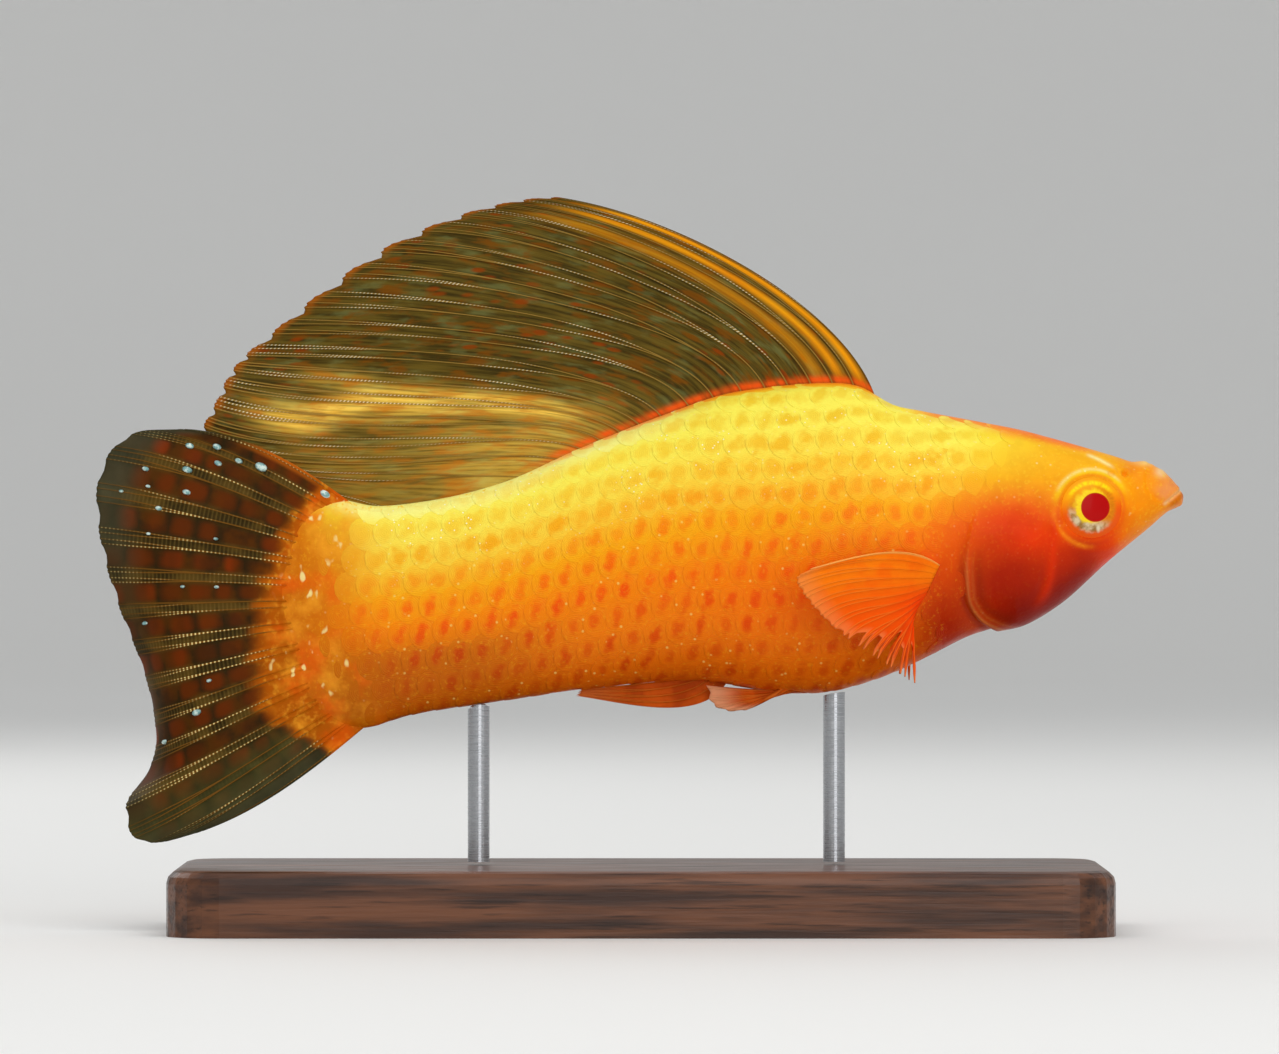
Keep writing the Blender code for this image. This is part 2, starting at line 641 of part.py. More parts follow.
def make_fin(name, surface, rays, profile, rows, half_thickness, notch=0.0, feet=None):
    """Two like faces either side of a fin's middle surface, joined round its edge.

    half_thickness takes u and v and gives the distance of each face from the middle, to which
    the rays' ridges are added. Where feet is given, it places the first row of both faces on
    what the fin grows from.
    """
    u_root, u_tip, height_root, height_tip, draw_in = ray_columns(rays, profile)
    even = np.linspace(0, 1, rows)[:, None]
    v = even - ROW_CROWDING * np.sin(2 * math.pi * even) / (2 * math.pi)
    split = smooth_step((v - FORK_FROM) / FORK_OVER)
    u = u_root + (u_tip - u_root) * split
    v = v + 0 * u
    margin = smooth_step((v - NOTCH_FROM) / (1 - NOTCH_FROM))
    middle = surface(u, v * (1 - notch * draw_in * margin))
    normal = np.cross(np.gradient(middle, axis=0), np.gradient(middle, axis=1))
    normal /= np.linalg.norm(normal, axis=-1, keepdims=True)
    ridge = RIDGE * (1 - (1 - RIDGE_AT_TIP) * v) * (height_root + (height_tip - height_root) * split)
    half = (half_thickness(u, v) + ridge)[..., None]
    columns = len(u_root)
    faces = np.stack([middle + normal * half, middle - normal * half])
    if feet:
        ahead, astern = feet(u[0])
        if np.sum((faces[0, 1] - ahead) ** 2) > np.sum((faces[1, 1] - ahead) ** 2):
            ahead, astern = astern, ahead
        faces[0, 0], faces[1, 0] = ahead, astern
    points = faces.reshape(-1, 3)
    count = rows * columns
    triangles = []
    for a, b, c, d in strip_faces(rows, columns, False):
        triangles += [(a, b, c), (a, c, d)]
        triangles += [(a + count, c + count, b + count), (a + count, d + count, c + count)]
    edge = ([(0, column) for column in range(columns)] + [(row, columns - 1) for row in range(1, rows)]
            + [(rows - 1, column) for column in range(columns - 2, -1, -1)]
            + [(row, 0) for row in range(rows - 2, 0, -1)])
    rim = [row * columns + column for row, column in edge]
    for place, after in zip(rim, rim[1:] + rim[:1]):
        triangles += [(place, after + count, after), (place, place + count, after + count)]
    return make_object(name, points, triangles)


def margin_half(half, v):
    """Thins a fin's half thickness towards its margin."""
    return half + (TIP_HALF - MEMBRANE_HALF) * smooth_step((v - THIN_FROM) / (1 - THIN_FROM))


def blade(root_half):
    """Thickness that falls from root_half to the membrane near the root, and thins at the tip."""
    def half(u, v):
        return margin_half(MEMBRANE_HALF + (root_half - MEMBRANE_HALF) * np.exp(-v / ROOT_FADE), v)
    return half


def tail_half(u, v):
    """The tail fin starts as thick as the stem's end, and thins to the membrane."""
    h = TAIL_ROOT[0] + (TAIL_ROOT[1] - TAIL_ROOT[0]) * u
    root_half = np.maximum(half_width_at(STEM_REAR + 0 * h, h), MEMBRANE_HALF)
    return margin_half(MEMBRANE_HALF + (root_half - MEMBRANE_HALF) * np.exp(-(v / STEM_FADE) ** 2), v)


def rod_fin_half(u, v):
    return ROD_FIN_HALF[0] + (ROD_FIN_HALF[1] - ROD_FIN_HALF[0]) * v


def make_stand_base(name):
    """Plinth with round corners and a bevelled upper edge."""
    turn = np.linspace(0, math.pi / 2, CORNER_POINTS)
    outline = []
    corners = [(1, 1), (-1, 1), (-1, -1), (1, -1)]
    for quarter, (side_x, side_y) in enumerate(corners):
        for angle in turn + quarter * math.pi / 2:
            outline.append((side_x * (BASE_LENGTH / 2 - BASE_CORNER) + BASE_CORNER * math.cos(angle),
                            side_y * (BASE_WIDTH / 2 - BASE_CORNER) + BASE_CORNER * math.sin(angle)))
    body = bmesh.new()
    face = body.faces.new([body.verts.new((x * MM, y * MM, 0)) for x, y in outline])
    sides = bmesh.ops.extrude_face_region(body, geom=[face])
    raised = [item for item in sides["geom"] if isinstance(item, bmesh.types.BMVert)]
    bmesh.ops.translate(body, verts=raised, vec=(0, 0, BASE_HEIGHT * MM))
    rim = [edge for edge in body.edges if all(vert in raised for vert in edge.verts)]
    bmesh.ops.bevel(body, geom=rim, offset=BASE_CHAMFER * MM, segments=CHAMFER_STEPS, profile=0.5,
                    affect="EDGES")
    bmesh.ops.recalc_face_normals(body, faces=body.faces)
    mesh = bpy.data.meshes.new(name)
    body.to_mesh(mesh)
    body.free()
    item = bpy.data.objects.new(name, mesh)
    bpy.context.collection.objects.link(item)
    return item


def make_rod(name, station, pose):
    """Upright rod from the plinth to the belly, whose top follows the belly a gap below it."""
    foot = BASE_HEIGHT + GAP
    x = SNOUT[0] - station * math.cos(NOSE_UP)
    y = float(sideways(station))
    top = SNOUT[2] - station * math.sin(NOSE_UP) + float(through(BELLY, station)) + ROD_RISE
    turn = np.linspace(0, 2 * math.pi, ROD_SIDES, endpoint=False)
    ring = np.stack([-x + ROD_RADIUS * np.cos(turn), y + ROD_RADIUS * np.sin(turn)], -1)
    rings = np.stack([np.column_stack([ring, np.full(ROD_SIDES, z)]) for z in (foot, top)])
    rod = tube(name, rings, (-x, y, foot), (-x, y, top))
    body = flesh("clearance", GAP)
    curve_sideways(body)
    body.parent = pose
    bpy.context.view_layer.update()
    return combine(rod, "DIFFERENCE", body)


def curve_sideways(item):
    """Shifts every point of a fish piece sideways by the body's curve at its s."""
    points = np.empty(len(item.data.vertices) * 3)
    item.data.vertices.foreach_get("co", points)
    points = points.reshape(-1, 3)
    points[:, 1] += sideways(-points[:, 0] / MM) * MM
    item.data.vertices.foreach_set("co", points.ravel())
    item.data.update()


def paint(item, colour, roughness, metallic=0.0):
    material = bpy.data.materials.new(item.name + "_finish")
    material.use_nodes = True
    shader = material.node_tree.nodes["Principled BSDF"]
    shader.inputs["Base Color"].default_value = (*colour, 1)
    shader.inputs["Roughness"].default_value = roughness
    shader.inputs["Metallic"].default_value = metallic
    item.data.materials.clear()
    item.data.materials.append(material)


def make_dorsal_fin(name):
    return make_fin(name, dorsal_surface, DORSAL_RAYS, SIMPLE_RAY, DORSAL_ROWS,
                    blade(DORSAL_HALF_ROOT), DORSAL_NOTCH)


def make_tail_fin(name):
    return make_fin(name, tail_surface, TAIL_RAYS, FORKED_RAY, TAIL_ROWS, tail_half, TAIL_NOTCH)


def make_rod_fin(name):
    return make_fin(name, rod_fin_surface, ROD_FIN_RAYS, FINE_RAY, ROD_FIN_ROWS, rod_fin_half)


def make_pectoral_fin(name, side):
    surface = pectoral_surface(side, LEFT_SPREAD if side > 0 else RIGHT_SPREAD)
    return make_fin(name, surface, PECTORAL_RAYS, FINE_RAY, PECTORAL_ROWS,
                    blade(PECTORAL_HALF_ROOT), PECTORAL_NOTCH, pectoral_feet(side))


def make_pelvic_fin(name, side):
    return make_fin(name, pelvic_surface(side), PELVIC_RAYS, FINE_RAY, PELVIC_ROWS,
                    blade(PELVIC_HALF_ROOT), PELVIC_NOTCH, pelvic_feet(side))


def make_fish():
    """All the fish's pieces, each with its own finish."""
    pieces = [
        (make_head("head"), ORANGE, SKIN_ROUGHNESS),
        (make_lower_jaw("lower_jaw"), ORANGE, SKIN_ROUGHNESS),
        (make_trunk("trunk"), YELLOW_ORANGE, SKIN_ROUGHNESS),
        (make_tail_stem("tail_stem"), ORANGE, SKIN_ROUGHNESS),
        (make_dorsal_fin("dorsal_fin"), OLIVE, FIN_ROUGHNESS),
        (make_tail_fin("caudal_fin"), OLIVE, FIN_ROUGHNESS),
        (make_rod_fin("gonopodium"), DEEP_ORANGE, FIN_ROUGHNESS),
    ]
    for word, side in (("right", -1), ("left", 1)):
        pieces += [
            (make_gill_cover("gill_cover_" + word, side), DEEP_ORANGE, SKIN_ROUGHNESS),
            (make_eye("eye_" + word, side), EYE_RED, EYE_ROUGHNESS),
            (make_pectoral_fin("pectoral_fin_" + word, side), ORANGE, FIN_ROUGHNESS),
            (make_pelvic_fin("pelvic_fin_" + word, side), ORANGE, FIN_ROUGHNESS),
        ]
    for item, colour, roughness in pieces:
        keep_largest_surface(item)
        curve_sideways(item)
        paint(item, colour, roughness)
    return [item for item, colour, roughness in pieces]


def main():
    for item in list(bpy.data.objects):
        bpy.data.objects.remove(item)
    pose = bpy.data.objects.new("fish_pose", None)
    bpy.context.collection.objects.link(pose)
    pose.location = [MM * value for value in SNOUT]
    pose.rotation_euler = (0, -NOSE_UP, 0)
    for item in make_fish():
        item.parent = pose
    paint(make_stand_base("stand_base"), WOOD, WOOD_ROUGHNESS)
    for word, station in zip(("front", "rear"), ROD_STATIONS):
        rod = make_rod("stand_rod_" + word, station, pose)
        keep_largest_surface(rod)
        paint(rod, STEEL, STEEL_ROUGHNESS, 1.0)


main()
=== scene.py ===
"""A life-size orange sailfin molly on a plain display stand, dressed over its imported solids.

The fish is drawn in its own straight frame, in millimetres: s runs back from the tip of the
snout, h runs up and y to its left. place() curves it sideways, turns it nose up and gives metres.
"""

import math

import bpy
import numpy as np
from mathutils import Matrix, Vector


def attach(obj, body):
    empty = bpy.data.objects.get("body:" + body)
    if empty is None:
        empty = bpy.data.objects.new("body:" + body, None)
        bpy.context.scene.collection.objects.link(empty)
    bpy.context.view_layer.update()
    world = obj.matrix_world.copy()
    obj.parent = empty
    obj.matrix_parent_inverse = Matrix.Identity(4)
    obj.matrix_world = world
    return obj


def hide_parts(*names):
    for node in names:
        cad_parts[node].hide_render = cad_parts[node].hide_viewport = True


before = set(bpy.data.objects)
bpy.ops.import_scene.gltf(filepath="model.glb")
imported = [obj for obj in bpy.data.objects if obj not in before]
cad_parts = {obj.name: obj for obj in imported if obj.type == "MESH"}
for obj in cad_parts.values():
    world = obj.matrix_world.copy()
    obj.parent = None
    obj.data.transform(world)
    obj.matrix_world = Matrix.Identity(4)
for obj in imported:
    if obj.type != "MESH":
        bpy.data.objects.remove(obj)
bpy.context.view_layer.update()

bl_info = {
    "name": "Sailfin Molly Model",
    "version": (1, 0, 0),
    "blender": (4, 5, 0),
    "location": "3D View > Sidebar > Molly",
    "description": "Makes a still, life-size sailfin molly on a display stand",
    "category": "Object",
}

def evenly(points):
    """Knots from 0 to 1, evenly spaced, for points that give one value or more each."""
    return [(place / (len(points) - 1), *np.atleast_1d(point)) for place, point in enumerate(points)]


MM = 0.001

# The pose: how far the nose points up, where the snout is, and how the tail swings to the right.
NOSE_UP = math.radians(8.0)
SNOUT = (49.94, 0.0, 39.56)
BEND_START = 35.0
BEND_LENGTH = 65.0
BEND_REACH = 4.0

# The body: its upper and lower outline, and its half width, along s.
BACK = [(0, 0.45), (0.25, 1.0), (0.8, 2.0), (1.5, 2.8), (2.9, 3.9), (4.4, 4.2), (5.4, 4.7),
        (8.8, 6.25), (15.8, 9.2), (22.9, 11.65), (25.2, 12.5), (28.0, 14.6), (31.6, 15.45),
        (39.0, 15.75), (46.6, 14.5), (54.3, 12.6), (62.0, 10.4), (69.6, 9.7), (73.3, 9.8),
        (76.0, 10.6), (82.0, 13.6)]
BELLY = [(0, 0.3), (0.2, -0.3), (0.7, -0.58), (1.6, -0.85), (3.4, -2.0), (7.5, -4.5),
         (12.6, -7.9), (16.6, -9.4), (20.3, -9.5), (26.1, -11.3), (30.0, -12.35), (35.0, -13.0),
         (39.3, -12.4), (46.1, -10.4), (55.6, -9.65), (70.5, -9.6), (77.1, -10.4), (82.0, -12.4)]
HALF_WIDTH = [(0, 0), (0.3, 1.35), (1.0, 2.15), (2.0, 2.7), (5.0, 3.7), (8.7, 4.7), (12.5, 5.6),
              (18.0, 6.4), (25.0, 6.85), (32.0, 6.8), (40.0, 6.2), (48.0, 5.3), (56.0, 4.3),
              (64.0, 3.4), (70.0, 2.75), (76.0, 2.0), (82.0, 1.2)]
WIDEST = [(0, 0.4), (3.0, 0.45), (8.7, 0.52), (20.0, 0.46), (35.0, 0.48), (60.0, 0.5), (82.0, 0.5)]
ROUND_ABOVE = [(0, 2.3), (8.0, 2.3), (20.0, 2.0), (35.0, 1.8), (60.0, 1.9), (82.0, 2.2)]
ROUND_BELOW = [(0, 2.2), (8.0, 2.0), (18.0, 1.9), (30.0, 2.2), (60.0, 2.2), (82.0, 2.2)]

# The flesh ends in a rounded tongue over the root of the tail fin.
TONGUE_FROM = 76.2
TONGUE_END = 84.2
TONGUE_MIDDLE = -0.2
TONGUE_POWER = 2.2
TONGUE_SWELL = 0.6
TONGUE_THINNING = 1.7

# The edge of the tail fin's orange root, up its height.
TAIL_ORANGE = [(-12.5, 80.5), (-10.7, 82.5), (-8.1, 85.8), (-5.3, 86.6), (-1.2, 85.9), (1.5, 85.2),
               (4.1, 84.4), (6.8, 83.2), (9.4, 81.6), (11.5, 79.4), (12.5, 78.4)]

# The skin's grid: rows along s, crowded at the snout and at the tongue, and points round each.
HEAD_ROWS = 210
HEAD_END = 24.0
HEAD_CROWDING = 1.4
TRUNK_ROWS = 84
TONGUE_ROWS = 30
SKIN_ROUND = 252
COAT_DEPTH = 0.12

# Forms of the head, as lines in side view.
GILL_EDGE = [(14.6, -9.9), (16.6, -10.2), (18.6, -9.6), (20.4, -8.2), (21.2, -6.0), (21.0, -3.0),
             (20.3, -0.4), (19.2, 1.9), (17.6, 3.4)]
CHEEK_EDGE = [(15.8, -8.2), (14.2, -6.6), (13.4, -4.6), (13.0, -2.4), (12.5, -0.6), (11.6, 1.6)]
MOUTH_FRONT = (0.15, 0.95)
MOUTH_CORNER = (1.75, -0.05)
UPPER_JAW_EDGE = [(2.5, 4.3), (3.0, 3.2), (3.3, 2.0), (3.0, 0.9), (2.2, 0.1)]
# A painted highlight along the ridge above the eye, as a line in side view.
BROW_HIGHLIGHT = [(8.6, 5.5), (7.4, 4.8), (5.9, 3.7)]
NOSTRILS = [(5.2, 3.15), (6.5, 3.3)]
NOSTRIL_RADIUS = 0.3

# The eye, whose pupil sits a little in front of its middle. Its back is rings of radius and depth.
EYE = (8.71, 0.48)
EYE_RADIUS = 2.88
EYE_RISE = 0.6
EYE_RINGS = 26
EYE_ROUND = 72
EYE_EDGE = 0.04
EYE_DOME_POWER = 2.2
EYE_BACK = [(1.0, -0.5), (0.97, -0.9), (0.85, -1.3), (0.6, -1.7), (0.3, -1.95)]
EYE_BOTTOM = -2.0
PUPIL = (8.39, 0.48)
PUPIL_RADIUS = 1.33

# The scales: their pitch along a row, the space between rows, their size and how far they lift.
SCALE_PITCH = 2.12
SCALE_ROW = 2.42
SCALE_HALF_LENGTH = 1.75
SCALE_HALF_HEIGHT = 1.58
SCALE_LIFT = (-0.08, 0.01)
SCALE_THICKNESS = 0.03
SCALE_DOME = 0.02
SCALE_START = [(-14, 24.0), (-9, 22.2), (-5, 22.4), (-1, 21.6), (2, 19.5), (4, 16.5), (8, 13.5), (16, 11.0)]
SCALE_END = [(-14, 72.0), (-10, 75.4), (-5, 78.0), (0, 79.2), (5, 78.2), (9, 76.0), (14, 72.0)]
SCALE_ROWS_EACH_WAY = 8
SCALE_STEPS = 80
SCALE_FIRST = 10.0
SCALE_REACH = 0.985
SCALE_SEED = 7
SCALE_SIZES = (0.95, 1.05)
SCALE_TILT = 0.03
SCALE_LIFTS = (0.85, 1.2)
SCALE_POWER = 2.3
SCALE_STATIONS = (-0.97, -0.7, -0.3, 0.15, 0.52, 0.8, 0.97)
SCALE_ACROSS = 8
SHARP_ANGLE = math.radians(50)
HEART_SHARE = 0.3
HEART_FADE = 0.45
GIRTH_STATIONS = 160
GIRTH_STEPS = 181
GIRTH_SHARES = 121
BAKE_PATCH = 0.003
BAKE_SPAN = (100, 60)

# The dorsal fin: seventeen rays, with s of each root along the back, and s and h of each tip.
DORSAL_RAYS = 17
DORSAL_ROOTS = evenly([26.7, 28.5, 30.4, 32.4, 34.5, 36.6, 38.8, 41.4, 43.7, 46.2, 48.2, 50.0, 51.8,
                       53.5, 55.5, 58.8, 66.5])
DORSAL_TIPS = evenly([(53.4, 35.66), (56.0, 35.84), (58.7, 35.75), (61.8, 35.4), (65.5, 34.6),
                      (69.5, 33.35), (73.3, 31.6), (77.2, 29.45), (80.5, 27.4), (83.4, 25.6),
                      (84.9, 24.4), (86.0, 23.1), (87.1, 21.4), (88.3, 19.7), (88.9, 18.4),
                      (88.5, 17.0), (87.2, 15.6)])
DORSAL_ROOT_ANGLE = [(0, 84), (0.3, 86), (0.5, 80), (0.6, 64), (0.75, 54), (0.85, 34), (0.94, 16), (1, -5)]
DORSAL_TIP_ANGLE = [(0, 16), (0.15, 10), (0.3, 7), (0.56, 8), (0.65, 18), (0.75, 26), (0.9, 32), (1, 25)]
DORSAL_PULL = [(0, 0.75), (0.2, 0.56), (0.9, 0.5), (1, 1.0)]
DORSAL_SUNK = 1.0
DORSAL_WAVE = 0.28
DORSAL_LEAN = 2.2
DORSAL_LEAN_FROM = 60.0
DORSAL_LEAN_OVER = 22.0

# The tail fin: its rays fan out from the end of the stem, and its middle curls to the left.
TAIL_RAYS = 15
TAIL_ROOT = (10.5, -10.8)
TAIL_SUNK = 1.2
TAIL_WAVE = 0.14
STEM_END = [(75.2, 13.5), (76.0, 10.4), (77.5, 6.0), (78.3, 0.0), (78.6, -6.0), (78.5, -10.6),
            (78.4, -13.5)]
TAIL_TIPS = [(0, 89.5, 19.1), (0.06, 93.6, 19.6), (0.13, 96.6, 18.5), (0.19, 98.4, 16.0),
             (0.25, 99.1, 12.6), (0.5, 99.4, 0.0), (0.75, 100.2, -12.5), (0.82, 100.3, -15.3),
             (0.88, 99.5, -17.5), (0.94, 97.0, -18.0), (1, 93.0, -17.4)]
TAIL_ROOT_ANGLE = [(0, 46), (0.5, 3), (1, -32)]
TAIL_TIP_ANGLE = [(0, 12), (0.2, 16), (0.5, 0), (0.8, -16), (1, -12)]
TAIL_CURL = [(0, 0), (0.22, 5), (0.4, 40), (0.55, 75), (0.66, 85), (0.74, 70), (0.8, 12), (0.88, 0),
             (1, 0)]
TAIL_CURL_FROM = 0.56
LEAST_CURL = 0.001

# The pectoral fins: roots on the side of the body just behind the gill covers.
PECTORAL_RAYS = 13
PECTORAL_ROOT = [(23.4, -2.6), (26.5, -6.8)]
PECTORAL_TIPS = [(0, 34.9, -1.35), (0.12, 36.5, -2.2), (0.3, 35.6, -4.4), (0.55, 33.2, -7.6),
                 (0.7, 31.0, -9.6), (0.85, 29.0, -11.4), (1, 26.9, -13.2)]
PECTORAL_ROOT_ANGLE = [(0, 42), (0.5, -34), (1, -88)]
PECTORAL_TIP_ANGLE = [(0, -6), (0.5, -42), (1, -84)]
PECTORAL_SUNK = 0.25
PECTORAL_CUP = 0.35
PECTORAL_FRAYED_FROM = 0.15
RIGHT_SPREAD = 0.55
LEFT_SPREAD = 0.72

# The pelvic fins, and the rod of the anal fin, which lie back along the belly.
PELVIC_RAYS = 5
PELVIC_ROOT = [(36.8, 0.9), (38.8, 1.8)]
PELVIC_TIPS = [(0, 45.9, 1.3, -10.75), (0.3, 45.8, 1.5, -12.2), (0.7, 44.4, 1.8, -13.3),
               (1, 42.6, 2.0, -13.5)]
PELVIC_SAG = 0.2
BELLY_SUNK = 0.3
ROD_FIN_RAYS = 5
ROD_FIN_ROOT = (43.9, 47.2)
ROD_FIN_TIPS = [(0, 57.9, -10.05), (1, 57.5, -9.55)]
ROD_FIN_ROOT_ANGLE = [(0, -52), (0.6, -24), (1, 2)]
ROD_FIN_TIP_ANGLE = [(0, 16), (1, 2)]

# Where along a ray it forks, and how far apart the branches spread, in ray spacings.
SAIL_FORKS = ((0.2, 0.19), (0.65, 0.08))
TAIL_FORKS = ((-0.1, 0.14), (0.55, 0.06))
SMALL_FORKS = ((0.3, 0.16),)
FORK_LENGTH = 0.35
RAY_HALF = 0.2

# Each fin's grid: rows from root to tip, and columns a ray.
SAIL_GRID = (116, 24)
TAIL_GRID = (96, 22)
PECTORAL_GRID = (64, 16)
PELVIC_GRID = (40, 12)
ROD_FIN_GRID = (60, 12)

# Half thickness of a small fin's membrane, and how much thinner the margin of any fin is.
MEMBRANE_HALF = 0.09
MARGIN_THINNER = 0.04

# Pale glints on the tail fin: their places in side view and their half lengths.
TAIL_GLINTS = [(78.1, 11.5, 0.6), (83.5, 14.8, 0.65), (85.5, 15.6, 0.4), (87.3, 17.2, 0.45),
               (87.5, 15.7, 0.4), (89.7, 17.6, 0.45), (90.4, 15.5, 0.5), (90.7, 13.4, 0.42),
               (94.0, 16.1, 0.36), (94.1, 14.5, 0.26), (96.6, 14.4, 0.24), (93.4, 12.4, 0.36),
               (94.6, 10.2, 0.24), (96.1, 2.1, 0.3), (92.5, -6.7, 0.5), (95.8, -9.0, 0.4),
               (89.2, 4.5, 0.25), (92.2, 4.9, 0.24), (88.6, 8.9, 0.24), (91.0, -3.9, 0.28)]
GLINT_ROUND = 16
GLINT_RADII = (0.4, 0.75, 1.0)
GLINT_LIFTS = (0.34, 0.28, 0.05)
GLINT_WIDTH = 0.62
GLINT_TOP = 0.36
GLINT_FOOT = 0.02

# The floor and the lamps, in metres and watts: each lamp's name, place, width and power.
FLOOR_ROUND = 96
FLOOR_RINGS = (0.1, 0.4, 0.9)
FLOOR_RADIUS = 1.6
FLOOR_WALL = 1.6
FLOOR_BEND = 1.0
LAMPS = (("key_light", (0.12, -0.28, 0.6), 0.5, 1.1), ("front_light", (0.2, -0.7, 0.25), 0.5, 1.6),
         ("back_light", (-0.25, 0.5, 0.5), 0.5, 1.3))
LAMP_AIM = (0, 0, 0.037)
SKY_COLOUR = (0.95, 0.97, 1.0, 1)
SKY_STRENGTH = 0.6

# The camera, as in the photograph: one of its pixels is 0.092 mm at the fish.
PICTURE_WIDTH = 1279
PIXEL = 0.092
CAMERA_DISTANCE = 0.9
SENSOR = 36.0
VIEW_MIDDLE = (-0.14, 37.07)


def linear(*colour):
    """A colour as shown on a screen, 0 to 255 a channel, turned into its linear value."""
    value = np.asarray(colour, float) / 255
    return tuple(np.where(value <= 0.04045, value / 12.92, ((value + 0.055) / 1.055) ** 2.4).tolist())


BACK_YELLOW = linear(255, 234, 56)
UPPER_YELLOW = linear(253, 196, 30)
FLANK_ORANGE = linear(254, 132, 4)
LOW_ORANGE = linear(252, 112, 2)
BELLY_RUST = linear(244, 106, 4)
EMBER = linear(252, 76, 2)
THROAT_RED = linear(176, 34, 2)
THROAT_DARK = linear(134, 16, 1)
JAW_RED = linear(238, 50, 2)
STEM_OCHRE = linear(176, 82, 4)
SNOUT_ORANGE = linear(254, 150, 8)
LIP_CREAM = linear(252, 205, 140)
CONTOUR_RED = linear(254, 100, 6)
# Cream of painted highlights: the brow, the eye's upper rim and the skin's glints.
HIGHLIGHT_CREAM = linear(255, 246, 170)
NET_YELLOW = linear(255, 242, 92)
# Cream of the painted highlight along the top edge of the back.
CREST_HIGHLIGHT = linear(255, 252, 146)
GOLD = linear(255, 205, 40)
FIN_OLIVE = linear(92, 74, 22)
FIN_BROWN = linear(100, 42, 5)
FIN_YELLOW = linear(255, 230, 112)
FIN_SPOT = linear(138, 58, 5)
FIN_ORANGE = linear(248, 86, 6)
# The pupil's red is a painted reflection: red-eye, light thrown back from inside the eye.
RED_EYE_PUPIL = linear(184, 4, 4)
WOOD_DARK = linear(58, 34, 22)
WOOD_LIGHT = linear(112, 68, 42)
STEEL_GREY = linear(196, 198, 202)
FLOOR_GREY = linear(238, 237, 234)


def colour_property(name, about, default):
    return bpy.props.FloatVectorProperty(
        name=name, description=about, default=default, subtype="COLOR", size=3, min=0, max=1)


def length_property(name, about, default):
    return bpy.props.FloatProperty(name=name, description=about, default=default, min=0)


class BodyColours(bpy.types.PropertyGroup):
    """Colours of the skin and its scales."""

    back: colour_property("Back", "Yellow of the back", BACK_YELLOW)
    flank: colour_property("Flank", "Orange of the middle of the side", FLANK_ORANGE)
    belly: colour_property("Belly", "Rusty orange of the belly", BELLY_RUST)
    throat: colour_property("Throat", "Deep red of the throat and gill covers", THROAT_RED)
    # The lips' cream is also used for the painted highlight on the upper lip's bump.
    lips_and_highlight: colour_property("Lips", "Cream of the lips", LIP_CREAM)
    scale_net: colour_property("Scale rims", "Pale rims of the scales on the back", NET_YELLOW)


class FinColours(bpy.types.PropertyGroup):
    """Colours of the fins and the eyes."""

    membrane: colour_property("Membrane", "Olive brown between the rays of the sail", FIN_OLIVE)
    tail_membrane: colour_property("Tail membrane", "Red brown between the rays of the tail fin", FIN_BROWN)
    spots: colour_property("Spots", "Orange spots on the fins", FIN_SPOT)
    small_fins: colour_property("Small fins", "Orange of the paired fins", FIN_ORANGE)
    # The pupil's red is a painted reflection: red-eye, light thrown back from inside the eye.
    pupil: colour_property("Pupil", "Red of the pupil", RED_EYE_PUPIL)


class MollySizes(bpy.types.PropertyGroup):
    """Sizes that can be changed without moving a piece off its solid, in millimetres."""

    scale_pitch: length_property("Scale pitch", "Space between scales along a row, in mm", SCALE_PITCH)
    scale_row: length_property("Scale rows", "Space between rows of scales, in mm", SCALE_ROW)
    eye_rise: length_property("Eye rise", "How far the eye stands out of the head, in mm", EYE_RISE)
    camera_distance: bpy.props.FloatProperty(
        name="Camera distance", description="From the camera to the fish", default=CAMERA_DISTANCE,
        min=0.3, max=1.1, unit="LENGTH")


def through(knots, places, column=1):
    """Smooth curve through the knots: cubics whose slopes are the mean of the chords beside."""
    x = np.array([knot[0] for knot in knots], float)
    value = np.array([knot[column] for knot in knots], float)
    chords = np.diff(value) / np.diff(x)
    slopes = np.concatenate([chords[:1], (chords[1:] + chords[:-1]) / 2, chords[-1:]])
    turns = np.concatenate([[False], chords[1:] * chords[:-1] <= 0, [False]])
    slopes[turns] = 0
    before = np.abs(np.insert(chords, 0, chords[0]))
    after = np.abs(np.append(chords, chords[-1]))
    steepest = 3 * np.minimum(before, after)
    slopes = np.clip(slopes, -steepest, steepest)
    places = np.clip(np.asarray(places, float), x[0], x[-1])
    cell = np.clip(np.searchsorted(x, places, side="right") - 1, 0, len(x) - 2)
    span = x[cell + 1] - x[cell]
    t = (places - x[cell]) / span
    return ((2 * t**3 - 3 * t**2 + 1) * value[cell] + (t**3 - 2 * t**2 + t) * span * slopes[cell]
            + (3 * t**2 - 2 * t**3) * value[cell + 1] + (t**3 - t**2) * span * slopes[cell + 1])


def curve(knots, places):
    """Smooth curve through knots of two values each."""
    return np.stack([through(knots, places, 1), through(knots, places, 2)], -1)


def smooth_step(t):
    t = np.clip(t, 0, 1)
    return t * t * (3 - 2 * t)


def ease(x, start, over):
    """Smooth step of x from start, one after the length over; it falls where over is negative."""
    return smooth_step((x - start) / over)


def sideways(s):
    """The body's curve: straight to BEND_START, then a parabola towards the right side."""
    return -BEND_REACH * (np.maximum(s - BEND_START, 0) / BEND_LENGTH) ** 2


def place(points):
    """Fish-frame millimetres to metres: shifted by the body's curve, then turned nose up."""
    s, y, h = points[..., 0], points[..., 1], points[..., 2]
    x = SNOUT[0] - s * math.cos(NOSE_UP) - h * math.sin(NOSE_UP)
    z = SNOUT[2] - s * math.sin(NOSE_UP) + h * math.cos(NOSE_UP)
    return np.stack([x, y + sideways(s), z], -1) * MM


